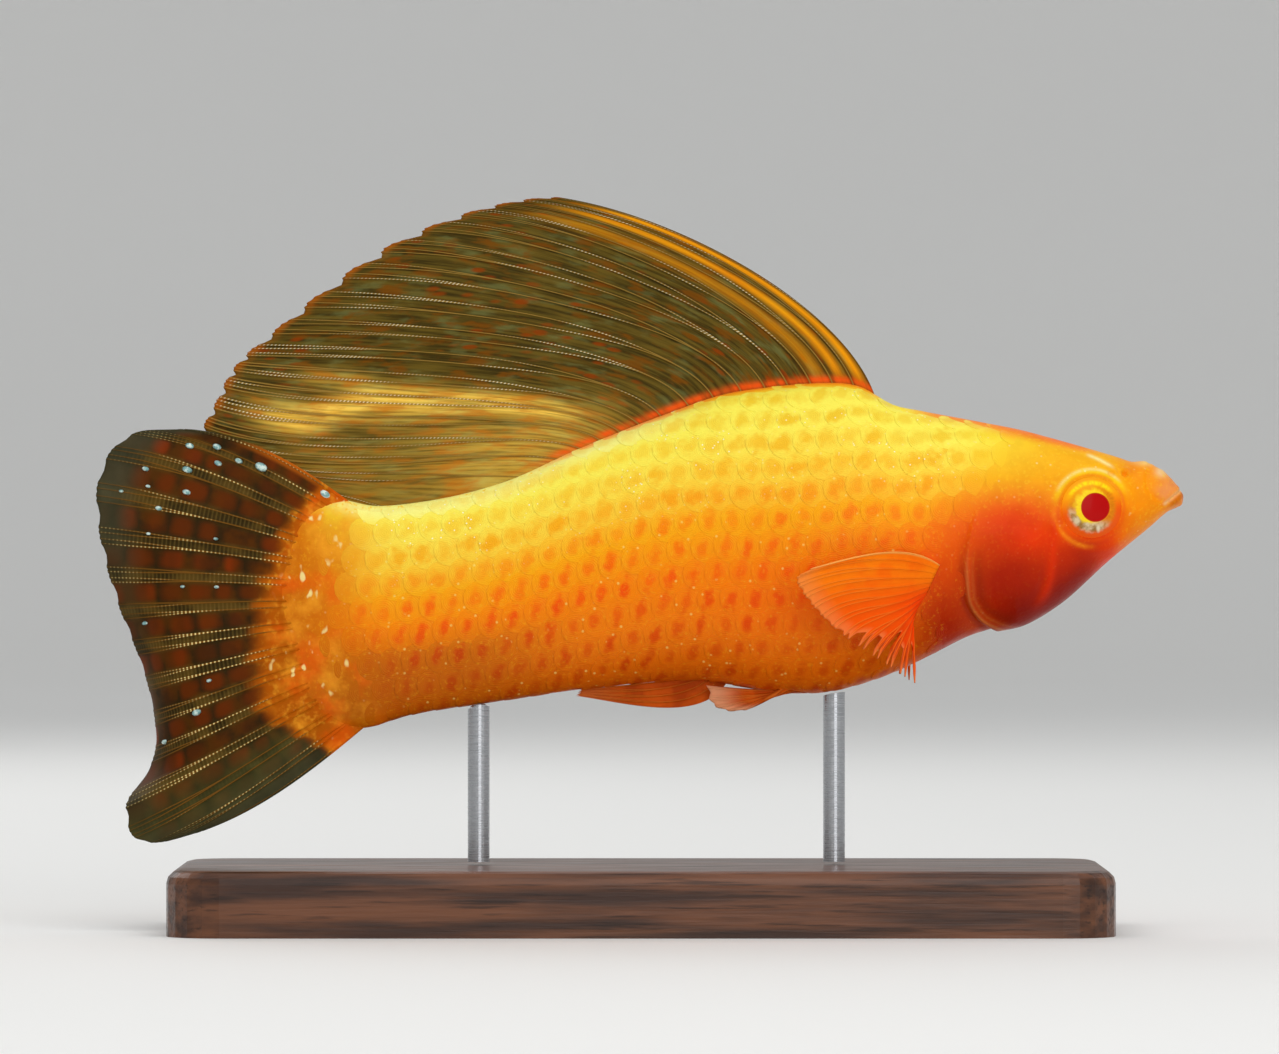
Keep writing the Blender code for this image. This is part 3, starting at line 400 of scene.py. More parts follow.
def section(s):
    """Top, bottom, half width, height of the widest place and both roundness powers at s."""
    top = through(BACK, s)
    bottom = through(BELLY, s)
    width = through(HALF_WIDTH, s)
    middle = bottom + (top - bottom) * through(WIDEST, s)
    return top, bottom, width, middle, through(ROUND_ABOVE, s), through(ROUND_BELOW, s)


def half_width_at(s, h):
    """Half width of the body at s and height h, from the same rounded section."""
    top, bottom, width, middle, above, below = section(s)
    rise = np.where(h > middle, (h - middle) / (top - middle), (middle - h) / (middle - bottom))
    power = np.where(h > middle, above, below)
    return width * (1 - np.clip(rise, 0, 1) ** power) ** (1 / power)


def body_form(s, turn):
    """The flesh: a rounded section at s, round by turn from the left side over the back.

    Each quarter is a superellipse between the widest place and the back or belly. Past
    TONGUE_FROM the section thins and then shrinks, to a point at TONGUE_END.
    """
    top, bottom, width, middle, above, below = section(s)
    past = np.clip((s - TONGUE_FROM) / (TONGUE_END - TONGUE_FROM), 0, 1)
    shrink = np.sqrt(1 - past**TONGUE_POWER)
    start = section(np.asarray(TONGUE_FROM, float))
    top = np.where(past > 0, TONGUE_MIDDLE + (start[0] + TONGUE_SWELL * past - TONGUE_MIDDLE) * shrink, top)
    bottom = np.where(past > 0, TONGUE_MIDDLE + (start[1] - past - TONGUE_MIDDLE) * shrink, bottom)
    middle = np.where(past > 0, middle + (TONGUE_MIDDLE - middle) * past, middle)
    width = width * (1 - past**TONGUE_THINNING)
    rise, across = np.sin(turn), np.cos(turn)
    power = np.where(rise > 0, above, below)
    reach = np.where(rise > 0, top - middle, middle - bottom)
    y = width * np.sign(across) * np.abs(across) ** (2 / power)
    h = middle + reach * np.sign(rise) * np.abs(rise) ** (2 / power)
    return np.stack([np.broadcast_to(s, y.shape), y, h], -1)


def body_normal(s, turn):
    """Unit normal of the flesh, outwards, from small steps in s and turn."""
    step_s, step_turn = 0.05, 0.01
    along = body_form(s + step_s, turn) - body_form(s - step_s, turn)
    round_it = body_form(s, turn + step_turn) - body_form(s, turn - step_turn)
    normal = np.cross(along, round_it)
    normal /= np.maximum(np.linalg.norm(normal, axis=-1, keepdims=True), 1e-12)
    outward = np.stack([0 * turn, np.cos(turn), np.sin(turn)], -1)
    return normal * np.where((normal * outward).sum(-1, keepdims=True) < 0, -1, 1)


def from_line(s, h, line, parts=48):
    """Distance to a smooth line in side view, positive on the left of its run, and the place on it."""
    knots = [(place, *point) for place, point in enumerate(line)]
    t = np.linspace(0, len(line) - 1, parts + 1)
    points = curve(knots, t)
    start, step = points[:-1], np.diff(points, axis=0)
    rel_s, rel_h = s[..., None] - start[:, 0], h[..., None] - start[:, 1]
    share = np.clip((rel_s * step[:, 0] + rel_h * step[:, 1]) / (step**2).sum(1), 0, 1)
    far = np.hypot(rel_s - share * step[:, 0], rel_h - share * step[:, 1])
    side = np.where(step[:, 0] * rel_h - step[:, 1] * rel_s > 0, 1, -1)
    nearest = far.argmin(-1)[..., None]
    distance = np.take_along_axis(far * side, nearest, -1)[..., 0]
    return distance, (nearest[..., 0] + np.take_along_axis(share, nearest, -1)[..., 0]) / parts


def bell(x, width):
    return np.exp(-(x / width) ** 2)


def ends(t, soft):
    """One along a line's run, fading to zero over soft at both ends."""
    return smooth_step(t / soft) * smooth_step((1 - t) / soft)


def eye_plane(s, h):
    """Sideways place of the plane that touches the head at the eye's middle."""
    step = 0.4
    here, behind, before, above, below = (
        half_width_at(np.array(EYE[0] + a), np.array(EYE[1] + b))
        for a, b in ((0, 0), (step, 0), (-step, 0), (0, step), (0, -step)))
    return (here + (s - EYE[0]) * (behind - before) / (2 * step)
            + (h - EYE[1]) * (above - below) / (2 * step))


def mouth_places(s, h):
    """Distance above the plane of the mouth's slit, and the share of the way from front to corner."""
    front, corner = np.array(MOUTH_FRONT), np.array(MOUTH_CORNER)
    length = np.linalg.norm(corner - front)
    along = (corner - front) / length
    up = np.array([-along[1], along[0]])
    rel_s, rel_h = s - front[0], h - front[1]
    return rel_s * up[0] + rel_h * up[1], (rel_s * along[0] + rel_h * along[1]) / length


def skin_relief(s, y, h):
    """How far the skin stands out of the flesh, in millimetres: the sum of the head's forms.

    The gill cover is a step that falls to a groove behind its edge. Grooves are bells across
    their lines. The lips are two bells beside the slit of the mouth, and the eye's place is a
    bowl with a raised rim.
    """
    relief = -COAT_DEPTH * (ease(s, through(SCALE_START, h), 5) * ease(s, through(SCALE_END, h) + 1, -6))
    near, along = from_line(s, h, GILL_EDGE)
    inside = smooth_step(near / 0.2 + 0.5)
    fade = ease(along, 0, 0.2) * ease(along, 1, -0.5)
    relief += fade * (inside * 0.16 * np.exp(-np.maximum(near, 0) / 2.5)
                      - (1 - inside) * 0.26 * np.exp(-np.abs(near) / 0.6))
    near, along = from_line(s, h, CHEEK_EDGE)
    step = 0.12 * smooth_step(near / 0.6 + 0.5) * np.exp(-np.maximum(near, 0) / 1.2)
    relief += ends(along, 0.3) * (step - 0.1 * bell(near + 0.35, 0.35))
    distance = np.hypot(s - EYE[0], h - EYE[1])
    relief += 0.07 * bell(distance - 3.05, 0.35) - ease(distance, 2.76, -0.3)
    relief += 0.09 * bell(distance - 3.75, 0.4) * ease(h - EYE[1], -0.5, 2)
    relief += 0.08 * bell(distance - 4.0, 0.4) * ease(h, EYE[1] + 0.5, -2)
    above, along = mouth_places(s, h)
    fade = ease(along, 1.1, -0.3) * (0.1 + 0.9 * smooth_step(np.abs(y) / 1.2))
    relief += fade * (0.1 * bell(above - 0.36, 0.3) + 0.1 * bell(above + 0.4, 0.32)
                      - 0.24 * bell(above, 0.12))
    near, along = from_line(s, h, UPPER_JAW_EDGE)
    relief -= ends(along, 0.2) * (0.12 * bell(near, 0.22))
    relief += 0.14 * spot(s, h, (1.8, 2.75), (0.5, 0.42)) + 0.1 * spot(s, h, (3.1, 3.75), (0.7, 0.4))
    for nostril in NOSTRILS:
        away = np.hypot(s - nostril[0], h - nostril[1])
        relief += (0.1 * bell(away - NOSTRIL_RADIUS - 0.15, 0.16)
                   - 0.4 * smooth_step(1.2 - away / NOSTRIL_RADIUS))
    return relief


def mix(under, over, share):
    return under + (np.asarray(over) - under) * np.clip(share, 0, 1)[..., None]


def spot(s, h, middle, reach):
    """Soft oval spot in side view: one in its middle, falling as a bell."""
    return np.exp(-((s - middle[0]) / reach[0]) ** 2 - ((h - middle[1]) / reach[1]) ** 2)


def ramp(t, *stops):
    """Colours along t, straight between stops of place and colour."""
    knots = [stop[0] for stop in stops]
    tones = np.array([tuple(stop[1]) for stop in stops])
    return np.stack([np.interp(t, knots, tones[:, channel]) for channel in range(3)], -1)


def laid(tone, *layers):
    """The tone with each layer's colour mixed over it by its share, in turn."""
    for colour, share in layers:
        tone = mix(tone, colour, share)
    return tone


def body_tone(s, h, colours):
    """Colour of the skin: a run from belly to back, with soft zones laid over it in turn.

    The zones are those of the flank and stem, of the head and throat, of the mouth and snout,
    round the eye, and along the gill cover and the cheek.
    """
    top, bottom = through(BACK, s), through(BELLY, s)
    t = np.clip((h - bottom) / (top - bottom), 0, 1)
    tone = ramp(t, (0, colours.belly), (0.14, LOW_ORANGE), (0.3, LOW_ORANGE), (0.5, colours.flank),
                (0.74, UPPER_YELLOW), (0.93, colours.back))
    stem = ease(s, 73, 7)
    tone = laid(
        tone,
        (FLANK_ORANGE, 0.5 * spot(s, h, (48, 5), (22, 3.4))),
        (EMBER, 0.85 * spot(s, h, (33, -3.8), (15, 4.6))),
        (STEM_OCHRE, 0.85 * ease(s, 46, 26) * ease(t, 0.5, -0.25)),
        (linear(246, 168, 40), 0.6 * ease(s, 58, 14) * ease(t, 0.42, 0.2) * ease(t, 0.97, -0.12)),
        (EMBER, 0.35 * spot(s, h, (66, 0.4), (26, 1.4))),
        # Painted highlight: the top edge of the back lightened towards cream.
        (CREST_HIGHLIGHT, 0.9 * ease(t, 0.91, 0.07) * ease(s, 40, 10) * ease(s, 80, -4)),
        (linear(226, 124, 10), 0.85 * stem * ease(t, 1.0, -0.25)),
        (linear(172, 86, 4), 0.85 * stem * ease(t, 0.45, -0.4)),
        (linear(206, 106, 6), 0.9 * ease(s, 78, 5)))
    tone = laid(
        tone,
        (linear(254, 172, 6), 0.8 * ease(s, 19, -9) * ease(t, 0.35, 0.25)),
        (EMBER, 0.9 * spot(s, h, (16.4, 0.3), (4.6, 2.6))),
        (linear(244, 60, 2), 0.8 * spot(s, h, (15.2, -1.6), (5.0, 2.8))),
        (colours.throat, spot(s, h, (16.9, -6.0), (5.2, 5.6)) * 1.15),
        (linear(246, 58, 2), 0.65 * spot(s, h, (14.4, -1.6), (2.6, 1.9))),
        (colours.throat, 0.95 * spot(s, h, (23.5, -8.6), (3.6, 4.6))),
        (JAW_RED, 0.8 * ease(s, 5, 3) * ease(s, 16, -4) * ease(t, 0.46, -0.24)),
        (colours.throat, 0.85 * ease(s, 6.5, 4) * ease(s, 19, -5) * ease(t, 0.42, -0.24)),
        (THROAT_DARK, 0.85 * ease(s, 7.5, 4) * ease(s, 20, -4) * ease(t, 0.22, -0.16)),
        (SNOUT_ORANGE, ease(s, 7.5, -4) * 0.9),
        (CONTOUR_RED, 0.8 * ease(t, 0.93, 0.06) * ease(s, 6, 4) * ease(s, 25, -4)),
        (CONTOUR_RED, 0.75 * bell(h - top + 0.1, 0.45) * ease(s, 25, 3) * ease(s, 60, -6)))
    above, along = mouth_places(s, h)
    tone = laid(
        tone,
        (linear(240, 150, 84), 0.85 * ease(above, 0, 0.2) * bell(above - 0.9, 0.9) * ease(along, 1.3, -0.5)),
        (linear(206, 104, 12), 0.8 * ease(above, 0, -0.2) * bell(above + 0.4, 0.5) * ease(along, 1.1, -0.4)),
        (colours.lips_and_highlight, 0.8 * bell(above - 0.05, 0.17) * ease(along, 1.25, -0.2)),
        # Painted highlights: on the bump of the upper lip, and a paler one along the edge above it.
        (colours.lips_and_highlight, spot(s, h, (1.8, 2.85), (0.55, 0.5)) * 1.2),
        (linear(254, 214, 120), 0.8 * spot(s, h, (3.0, 3.9), (0.9, 0.35))),
        (linear(238, 120, 16), 0.5 * spot(s, h, (4.6, 3.4), (0.8, 0.5))))
    distance = np.hypot(s - EYE[0], h - EYE[1])
    near, along = from_line(s, h, BROW_HIGHLIGHT)
    tone = laid(
        tone,
        (linear(255, 214, 10), 0.8 * bell(distance - 3.3, 0.35) * ease(h, 1.0, 1.4)),
        # Painted highlight on the upper rim round the eye.
        (HIGHLIGHT_CREAM, 0.55 * bell(distance - 3.55, 0.13) * ease(h, 2.2, 1.0)),
        (linear(255, 150, 20), 0.6 * bell(distance - 3.55, 0.22) * ease(h, 1.6, -1.5) * ease(s, 8.4, 2)),
        (linear(240, 84, 4), 0.5 * bell(distance - 3.0, 0.2)),
        # Painted highlight along the brow ridge.
        (HIGHLIGHT_CREAM, 0.75 * bell(near, 0.16) * ends(along, 0.25)))
    near, along = from_line(s, h, GILL_EDGE)
    fade = ease(along, 0.74, -0.2) * ease(along, 0.1, 0.14)
    tone = laid(
        tone,
        (linear(120, 18, 2), 0.45 * bell(near - 1.3, 0.5) * fade),
        (linear(130, 22, 2), 0.5 * bell(near + 0.3, 0.3) * fade),
        (linear(206, 116, 56), 0.7 * bell(near - 0.2, 0.15) * fade),
        (linear(196, 96, 40), 0.4 * bell(near - 0.7, 0.14) * fade))
    near, along = from_line(s, h, CHEEK_EDGE)
    return mix(tone, linear(236, 52, 2), 0.6 * bell(near - 0.2, 0.5) * ends(along, 0.25))


class Reading:
    """A node's output, so that formulas on it are written as plain arithmetic."""

    def __init__(self, finish, socket):
        self.finish = finish
        self.socket = socket

    def __add__(self, other):
        return self.finish.maths("ADD", self, other)

    def __sub__(self, other):
        return self.finish.maths("SUBTRACT", self, other)

    def __rsub__(self, other):
        return self.finish.maths("SUBTRACT", other, self)

    def __mul__(self, other):
        return self.finish.maths("MULTIPLY", self, other)

    def __truediv__(self, other):
        return self.finish.maths("DIVIDE", self, other)

    def put_through(self, operation):
        """The reading put through an operation of one value, such as SINE."""
        return self.finish.maths(operation, self)

    def smooth(self, low, high, first=0.0, last=1.0):
        """Smooth step of the reading from low to high, giving first to last."""
        return self.finish.read("ShaderNodeMapRange", self, low, high, first, last,
                                interpolation_type="SMOOTHSTEP")

    def under(self, share, over, blend="MIX"):
        """This colour with another laid over it by share."""
        return self.finish.mix(share, self, over, blend)


class Finish:
    """A material's nodes, with short calls for the kinds used here."""

    def __init__(self, name, **constants):
        self.material = bpy.data.materials.new(name)
        self.material.use_nodes = True
        self.tree = self.material.node_tree
        self.shader = self.tree.nodes["Principled BSDF"]
        for socket, value in constants.items():
            self.shader.inputs[socket.replace("_", " ")].default_value = value

    def put(self, socket, value):
        """Links a reading to an input, or sets a plain number or colour on it."""
        if isinstance(value, Reading):
            self.tree.links.new(value.socket, socket)
        else:
            socket.default_value = (*value, 1) if isinstance(value, tuple) else value

    def read(self, kind, *values, inputs=None, output=0, **settings):
        """A new node with its settings: its first inputs in turn, others by name, and its output."""
        item = self.tree.nodes.new(kind)
        for key, value in settings.items():
            setattr(item, key, value)
        for socket, value in zip(item.inputs, values):
            self.put(socket, value)
        for name, value in (inputs or {}).items():
            self.put(item.inputs[name], value)
        return Reading(self, item.outputs[output])

    def maths(self, operation, *values):
        return self.read("ShaderNodeMath", *values, operation=operation)

    def length(self, x, y):
        return (x * x + y * y).put_through("SQRT")

    def mix(self, share, under, over, blend="MIX"):
        return self.read("ShaderNodeMix", inputs={0: share, 6: under, 7: over}, output=2,
                         data_type="RGBA", blend_type=blend)

    def channels(self, colour):
        return self.parts(colour, "ShaderNodeSeparateColor")

    def parts(self, value, kind="ShaderNodeSeparateXYZ"):
        """The three parts of a vector."""
        item = self.tree.nodes.new(kind)
        self.put(item.inputs[0], value)
        return [Reading(self, socket) for socket in item.outputs]

    def vector(self, x, y=0.0, z=0.0):
        return self.read("ShaderNodeCombineXYZ", x, y, z)

    def object_place(self, scale=(1, 1, 1)):
        """Object coordinates, stretched by scale."""
        source = self.read("ShaderNodeTexCoord", output="Object")
        return self.read("ShaderNodeMapping", inputs={"Vector": source, "Scale": list(scale)})

    def noise(self, where, scale, detail=2.0):
        return self.read("ShaderNodeTexNoise", inputs={"Vector": where, "Scale": scale, "Detail": detail})

    def spots(self, where, scale, randomness=1.0):
        """Distance to the nearest of many scattered points."""
        return self.read("ShaderNodeTexVoronoi", output="Distance",
                         inputs={"Vector": where, "Scale": scale, "Randomness": randomness})

    def attribute(self, name, output="Fac"):
        return self.read("ShaderNodeAttribute", attribute_name=name, output=output)

    def uv(self, name):
        """The two coordinates of a UV map."""
        return self.parts(self.read("ShaderNodeUVMap", uv_map=name))[:2]

    def done(self, colour, height=None, distance=0.0, roughness=None):
        """The material, with its colour and, where they are given, its relief and roughness."""
        self.put(self.shader.inputs["Base Color"], colour)
        if roughness:
            self.put(self.shader.inputs["Roughness"], roughness)
        if height:
            relief = self.read("ShaderNodeBump", inputs={"Distance": distance, "Height": height})
            self.put(self.shader.inputs["Normal"], relief)
        return self.material


def fleshy_blotches(finish, colour, share):
    """Yellow and red blotches and pale flecks where the flesh runs out into the tail fin."""
    where = finish.object_place()
    x, y, z = finish.parts(finish.object_place())
    pale = finish.noise(where, 460, 3).smooth(0.42, 0.72, 0, 0.6)
    red = finish.noise(finish.vector(y, z, x), 300, 3).smooth(0.44, 0.72, 0, 0.6)
    fleck = finish.noise(finish.object_place((1.3, 1.3, 0.8)), 900, 1).smooth(0.64, 0.74, 0, 0.9)
    sown = finish.noise(where, 220).smooth(0.5, 0.58)
    colour = colour.under(share * pale, linear(255, 170, 40))
    colour = colour.under(share * red, linear(244, 88, 6))
    return colour.under(share * (fleck * sown), linear(255, 232, 150))


def skin_finish():
    """Wet skin: the tone attribute, mottled finely, with small pale glints in it."""
    finish = Finish("wet_skin", Specular_IOR_Level=0.06, Coat_Weight=0.02, Coat_Roughness=0.1)
    where = finish.object_place()
    mottle = finish.noise(where, 700, 3)
    fine = finish.noise(where, 3200)
    tone = finish.attribute("tone", "Color")
    bright = finish.channels(tone)[1]
    colour = tone.under(mottle.smooth(0.35, 0.68, 0, 0.25), (0.8, 0.6, 0.5), "MULTIPLY")
    colour = colour.under(fine.smooth(0.52, 0.75) * bright, GOLD)
    glint = finish.spots(where, 1100).smooth(0.16, 0.06)
    colour = colour.under(glint * (bright * 0.8), HIGHLIGHT_CREAM)
    colour = fleshy_blotches(finish, colour, finish.attribute("rear"))
    return finish.done(colour, mottle + fine * 0.4, 0.00006, mottle.smooth(0.3, 0.7, 0.28, 0.42))


def scale_finish():
    """Scales: a soft oval heart in a paler net, whose places come from ScalePlace, in mm."""
    finish = Finish("wet_scales", Specular_IOR_Level=0.06, Coat_Weight=0.02, Coat_Roughness=0.12)
    where = finish.object_place()
    x, y = finish.uv("ScalePlace")
    along = (x - 0.68) * (2 * SCALE_HALF_LENGTH)
    across = (y - 0.5) * (2 * SCALE_HALF_HEIGHT)
    wobble = finish.noise(where, 1100, 3)
    length, shown, glitter = finish.channels(finish.attribute("marks", "Color"))
    slant = (along + across * 0.3) / length
    inside = (finish.length(slant, across / 0.88) + (wobble - 0.5) * 2.6).smooth(1.5, 0.2)
    colour = finish.mix(inside, finish.attribute("net", "Color"), finish.attribute("heart", "Color"))
    colour = colour.under(finish.noise(where, 3000).smooth(0.52, 0.8, 0, 0.2), GOLD)
    glint = finish.spots(where, 1000).smooth(0.17, 0.06) * inside.smooth(0.9, 0.3)
    colour = colour.under(glint * (shown * 0.45), linear(255, 236, 130))
    # Painted glints: small white sparkles, where the third mark lets them.
    painted_sparkle = finish.spots(where, 1900).smooth(0.18, 0.08) * finish.noise(where, 260, 1).smooth(0.45, 0.62)
    colour = colour.under(painted_sparkle * glitter, linear(255, 252, 214))
    rings = (finish.length(along, across) * 34).put_through("SINE")
    return finish.done(colour, rings * 0.2 + wobble, 0.00003, wobble.smooth(0.3, 0.7, 0.28, 0.42))


def eye_finish(colours):
    """Wet eye: rings of colour about the pupil, by distances in EyePlane, in millimetres."""
    finish = Finish("wet_eye", Coat_Weight=0.08, Coat_Roughness=0.02, Roughness=0.4,
                    Specular_IOR_Level=0.06)
    ds, dh = ((part - 0.5) * (2 * EYE_RADIUS) for part in finish.uv("EyePlane"))
    middle = finish.length(ds, dh)
    off = ds - (PUPIL[0] - EYE[0])
    pupil = finish.length(off, dh)
    cloud = finish.noise(finish.object_place(), 1500, 3)
    streak = finish.noise(finish.vector(finish.maths("ARCTAN2", dh, off) * 4, pupil * 0.8), 2.2, 3)
    iris = finish.mix(streak, linear(204, 100, 8), linear(244, 150, 10))
    iris = iris.under((dh + off * 0.3).smooth(0.5, 2.2, 0, 0.8), linear(255, 170, 4))
    silver = finish.mix(cloud.smooth(0.35, 0.65), linear(150, 116, 64), linear(222, 206, 168))
    iris = iris.under((dh + off * -0.55).smooth(-0.5, -1.9, 0, 0.9), silver)
    ring = finish.mix(dh.smooth(-0.6, 1.6), linear(244, 92, 4), linear(255, 166, 10))
    colour = iris.under((middle + streak * 0.3).smooth(2.1, 2.6), ring)
    crest = (middle - 2.3).put_through("ABSOLUTE").smooth(0.32, 0.05) * streak.smooth(0.3, 0.6, 0.4, 1)
    colour = colour.under(crest * dh.smooth(0.9, 1.9), linear(255, 226, 10))
    reach = pupil - (off * 0.16 + dh * 0.08) + (cloud - 0.5) * 0.8
    golden = reach.smooth(1.76, 1.38) * (off + dh * 0.5).smooth(-1.3, 0.3, 0.15, 1)
    colour = colour.under(golden, finish.mix(streak, linear(252, 190, 4), linear(255, 236, 40)))
    # Painted highlight: a soft pale spot below the pupil.
    eye_highlight = finish.length(off * 1.8, dh + 1.95)
    colour = colour.under(eye_highlight.smooth(0.5, 0.1, 0, 0.85), linear(244, 226, 190))
    # Painted reflection: the pupil is red-eye red, light thrown back from inside the eye.
    rim = pupil.smooth(PUPIL_RADIUS + 0.04, PUPIL_RADIUS - 0.04)
    return finish.done(colour.under(rim, tuple(colours.pupil)))


def ray_lines(finish, rays, forks, width):
    """Strength of the branching ray lines, the ray number, v, and both distances from a ray.

    width is a line's half width in mm. The first distance is from the ray, in ray spacings, and
    the second from its nearest branch, in mm. FinPlace holds u and v. A ray's distance is folded
    at each fork: first about the ray, then about its branches. gauge is the space between rays.
    """
    u, v = finish.uv("FinPlace")
    ray = u * float(rays - 1)
    plain = (ray - ray.put_through("ROUND")).put_through("ABSOLUTE")
    off = plain
    for fork, spread in forks:
        off = (off - v.smooth(fork, fork + FORK_LENGTH, 0, spread)).put_through("ABSOLUTE")
    off = off * finish.attribute("gauge")
    return off.smooth(width, width * 0.3), ray, v, plain, off


def ray_bead_highlights(finish, run, ray, v, pitch):
    """Painted highlights on the rays: bright segments at an even pitch, lit along some stretches and not
    others.
    """
    bead = (run * (2 * math.pi / pitch)).put_through("SINE").smooth(-0.1, 0.9)
    lit = finish.noise(finish.vector(ray * 1.3, run * 0.11), 1, 1)
    return bead * v.smooth(0.08, 0.25) * lit.smooth(0.45, 0.68)


def sail_finish(colours):
    """The sail: olive membrane, streaked along its rays, with orange spots and golden stripes."""
    finish = Finish("sail_membrane", Roughness=0.5, Specular_IOR_Level=0.03)
    line, ray, v, plain, off = ray_lines(finish, DORSAL_RAYS, SAIL_FORKS, 0.1)
    run = finish.attribute("run")
    stripe, yellow, root = finish.channels(finish.attribute("zones", "Color"))
    streak, drift, patch = (finish.noise(finish.vector(ray * over, run * along, start), 1, 4)
                            for over, along, start in ((7.0, 0.16, 0.0), (2.2, 0.3, 7.0), (2.6, 0.34, 31.0)))
    dots = finish.spots(finish.vector((ray + 0.5) * 2.6, run * 0.42), 1, 0.85)
    dots = dots.smooth(0.36, 0.16) * finish.noise(finish.object_place(), 110).smooth(0.42, 0.58)
    colour = finish.mix(streak.smooth(0.32, 0.68), linear(38, 31, 10), linear(108, 88, 30))
    golden = finish.mix(streak, linear(222, 108, 4), linear(255, 184, 14))
    bright = finish.mix(drift, linear(255, 180, 34), FIN_YELLOW)
    # The rays' pale colour, with painted highlights on their bright segments.
    pale = finish.mix(ray_bead_highlights(finish, run, ray, v, 0.36), linear(158, 124, 54), linear(255, 240, 196))
    for share, over in (
            (0.3, tuple(colours.membrane)),
            (drift.smooth(0.5, 0.7, 0, 0.6), linear(108, 110, 60)),
            (patch.smooth(0.5, 0.66, 0, 0.8), linear(120, 68, 8)),
            (dots * 0.85, tuple(colours.spots)),
            (stripe, golden),
            (yellow * streak.smooth(0.34, 0.58, 0.5, 1), bright),
            (patch.smooth(0.42, 0.68, 0, 0.62) * yellow.smooth(0, 0.5), linear(196, 108, 16)),
            (root * drift.smooth(0.3, 0.6, 0.4, 1), linear(246, 88, 18))):
        colour = colour.under(share, over)
    colour = colour.under(off.smooth(0.36, 0.12, 0, 0.4), (0.4, 0.34, 0.24), "MULTIPLY")
    colour = colour.under(line * 0.85, pale)
    margin = v.smooth(0.97, 0.995) * plain.smooth(0.4, 0.1, 0.2, 0.7)
    return finish.done(colour.under(margin, linear(180, 92, 14)), line + streak, 0.00005)


def tail_finish(colours):
    """The tail fin: an orange root, then red-brown spots between rays with painted highlights, and a clear
    edge.

    The spots lie half way between rays, at an even pitch along them, each row shifted.
    """
    finish = Finish("tail_membrane", Roughness=0.5, Specular_IOR_Level=0.03)
    line, ray, v, plain, _ = ray_lines(finish, TAIL_RAYS, TAIL_FORKS, 0.09)
    run = finish.attribute("run")
    flesh, low, clear = finish.channels(finish.attribute("zones", "Color"))
    cloud = finish.noise(finish.object_place(), 420, 3)
    fine = finish.noise(finish.object_place(), 1500)
    row = ray.put_through("FLOOR")
    shift = ((row * 12.9).put_through("SINE") * 43.7).put_through("FRACT")
    drift = finish.noise(finish.vector(row * 3.7, run * 0.2), 1)
    wave = run / 2.7 + (shift + drift * 1.6)
    phase = wave.put_through("FRACT") - 0.5
    blot = finish.length(phase * 2.3, (0.5 - plain) * 2.4) + (cloud - 0.5) * 1.4
    cell = finish.noise(finish.vector(row * 7.7, wave.put_through("FLOOR") * 3.3), 1, 1)
    blot = blot.smooth(1.3, 0.3) * cell.smooth(0.35, 0.6, 0.25, 1)
    red = finish.mix(drift.smooth(0.5, 0.7, 0, 0.8), tuple(colours.tail_membrane), linear(150, 50, 6))
    dim = finish.mix(cloud.smooth(0.4, 0.6), linear(40, 32, 12), linear(78, 44, 8))
    rung = (run * (2 * math.pi / 0.38)).put_through("SINE").smooth(-0.2, 0.8)
    colour = finish.mix(cloud.smooth(0.38, 0.62), linear(50, 38, 12), linear(86, 64, 22))
    for share, over in (
            ((plain + cloud * 0.12).smooth(0.16, 0.4), finish.mix(blot, dim, red)),
            (rung * plain.smooth(0.16, 0.1, 0, 0.2), linear(134, 108, 52)),
            (low, finish.mix(cloud, linear(36, 38, 14), linear(92, 90, 42))),
            (clear, finish.mix(cloud, linear(40, 38, 22), linear(78, 78, 56))),
            (ray.smooth(0.45, 0.1) * v.smooth(0.75, 0.5), linear(186, 92, 14))):
        colour = colour.under(share, over)
    root = finish.mix(fine.smooth(0.5, 0.72, 0, 0.4), linear(180, 88, 4), linear(244, 170, 44))
    root = fleshy_blotches(finish, root, flesh.smooth(0.4, 1))
    feather = plain.smooth(0.34, 0.1, 0, 0.3) * flesh.smooth(0, 0.2)
    edge = flesh + (cloud - 0.5) * 0.6 + feather
    root = root.under(edge.smooth(0.8, 0.2), linear(140, 66, 4))
    colour = colour.under(edge.smooth(0.05, 0.9), root)
    # The rays' pale colour, with painted highlights on their bright segments.
    pale = finish.mix(ray_bead_highlights(finish, run, ray, v, 0.38), linear(122, 80, 26), linear(255, 228, 150))
    shown = line * v.smooth(1, 0.75, 0.3, 0.9) * flesh.smooth(0.98, 0.5)
    return finish.done(colour.under(shown, pale), line + cloud, 0.00005)


def side_fin_finish(colours):
    """Thin orange membrane, yellower in front and redder behind, between fine pale rays."""
    finish = Finish("side_fin_membrane", Roughness=0.5, Specular_IOR_Level=0.03)
    line, ray, v = ray_lines(finish, PECTORAL_RAYS, SMALL_FORKS, 0.09)[:3]
    cloud = finish.noise(finish.object_place(), 420, 3)
    colour = finish.mix(ray.smooth(1.5, 7), linear(255, 126, 10), tuple(colours.small_fins))
    for share, over in (
            (ray.smooth(7, 11), linear(224, 60, 3)),
            (v.smooth(0.5, 0.1) * ray.smooth(4, 8), linear(252, 66, 2)),
            (cloud.smooth(0.4, 0.7, 0, 0.5), linear(250, 84, 4)),
            (line * v.smooth(0.1, 0.6, 0.1, 0.4), linear(255, 138, 44)),
            (ray.smooth(0.35, 0.05), linear(255, 170, 80)),
            (v.smooth(0.8, 1, 0, 0.4), linear(240, 150, 84))):
        colour = colour.under(share, over)
    return finish.done(colour, line + cloud, 0.00004)


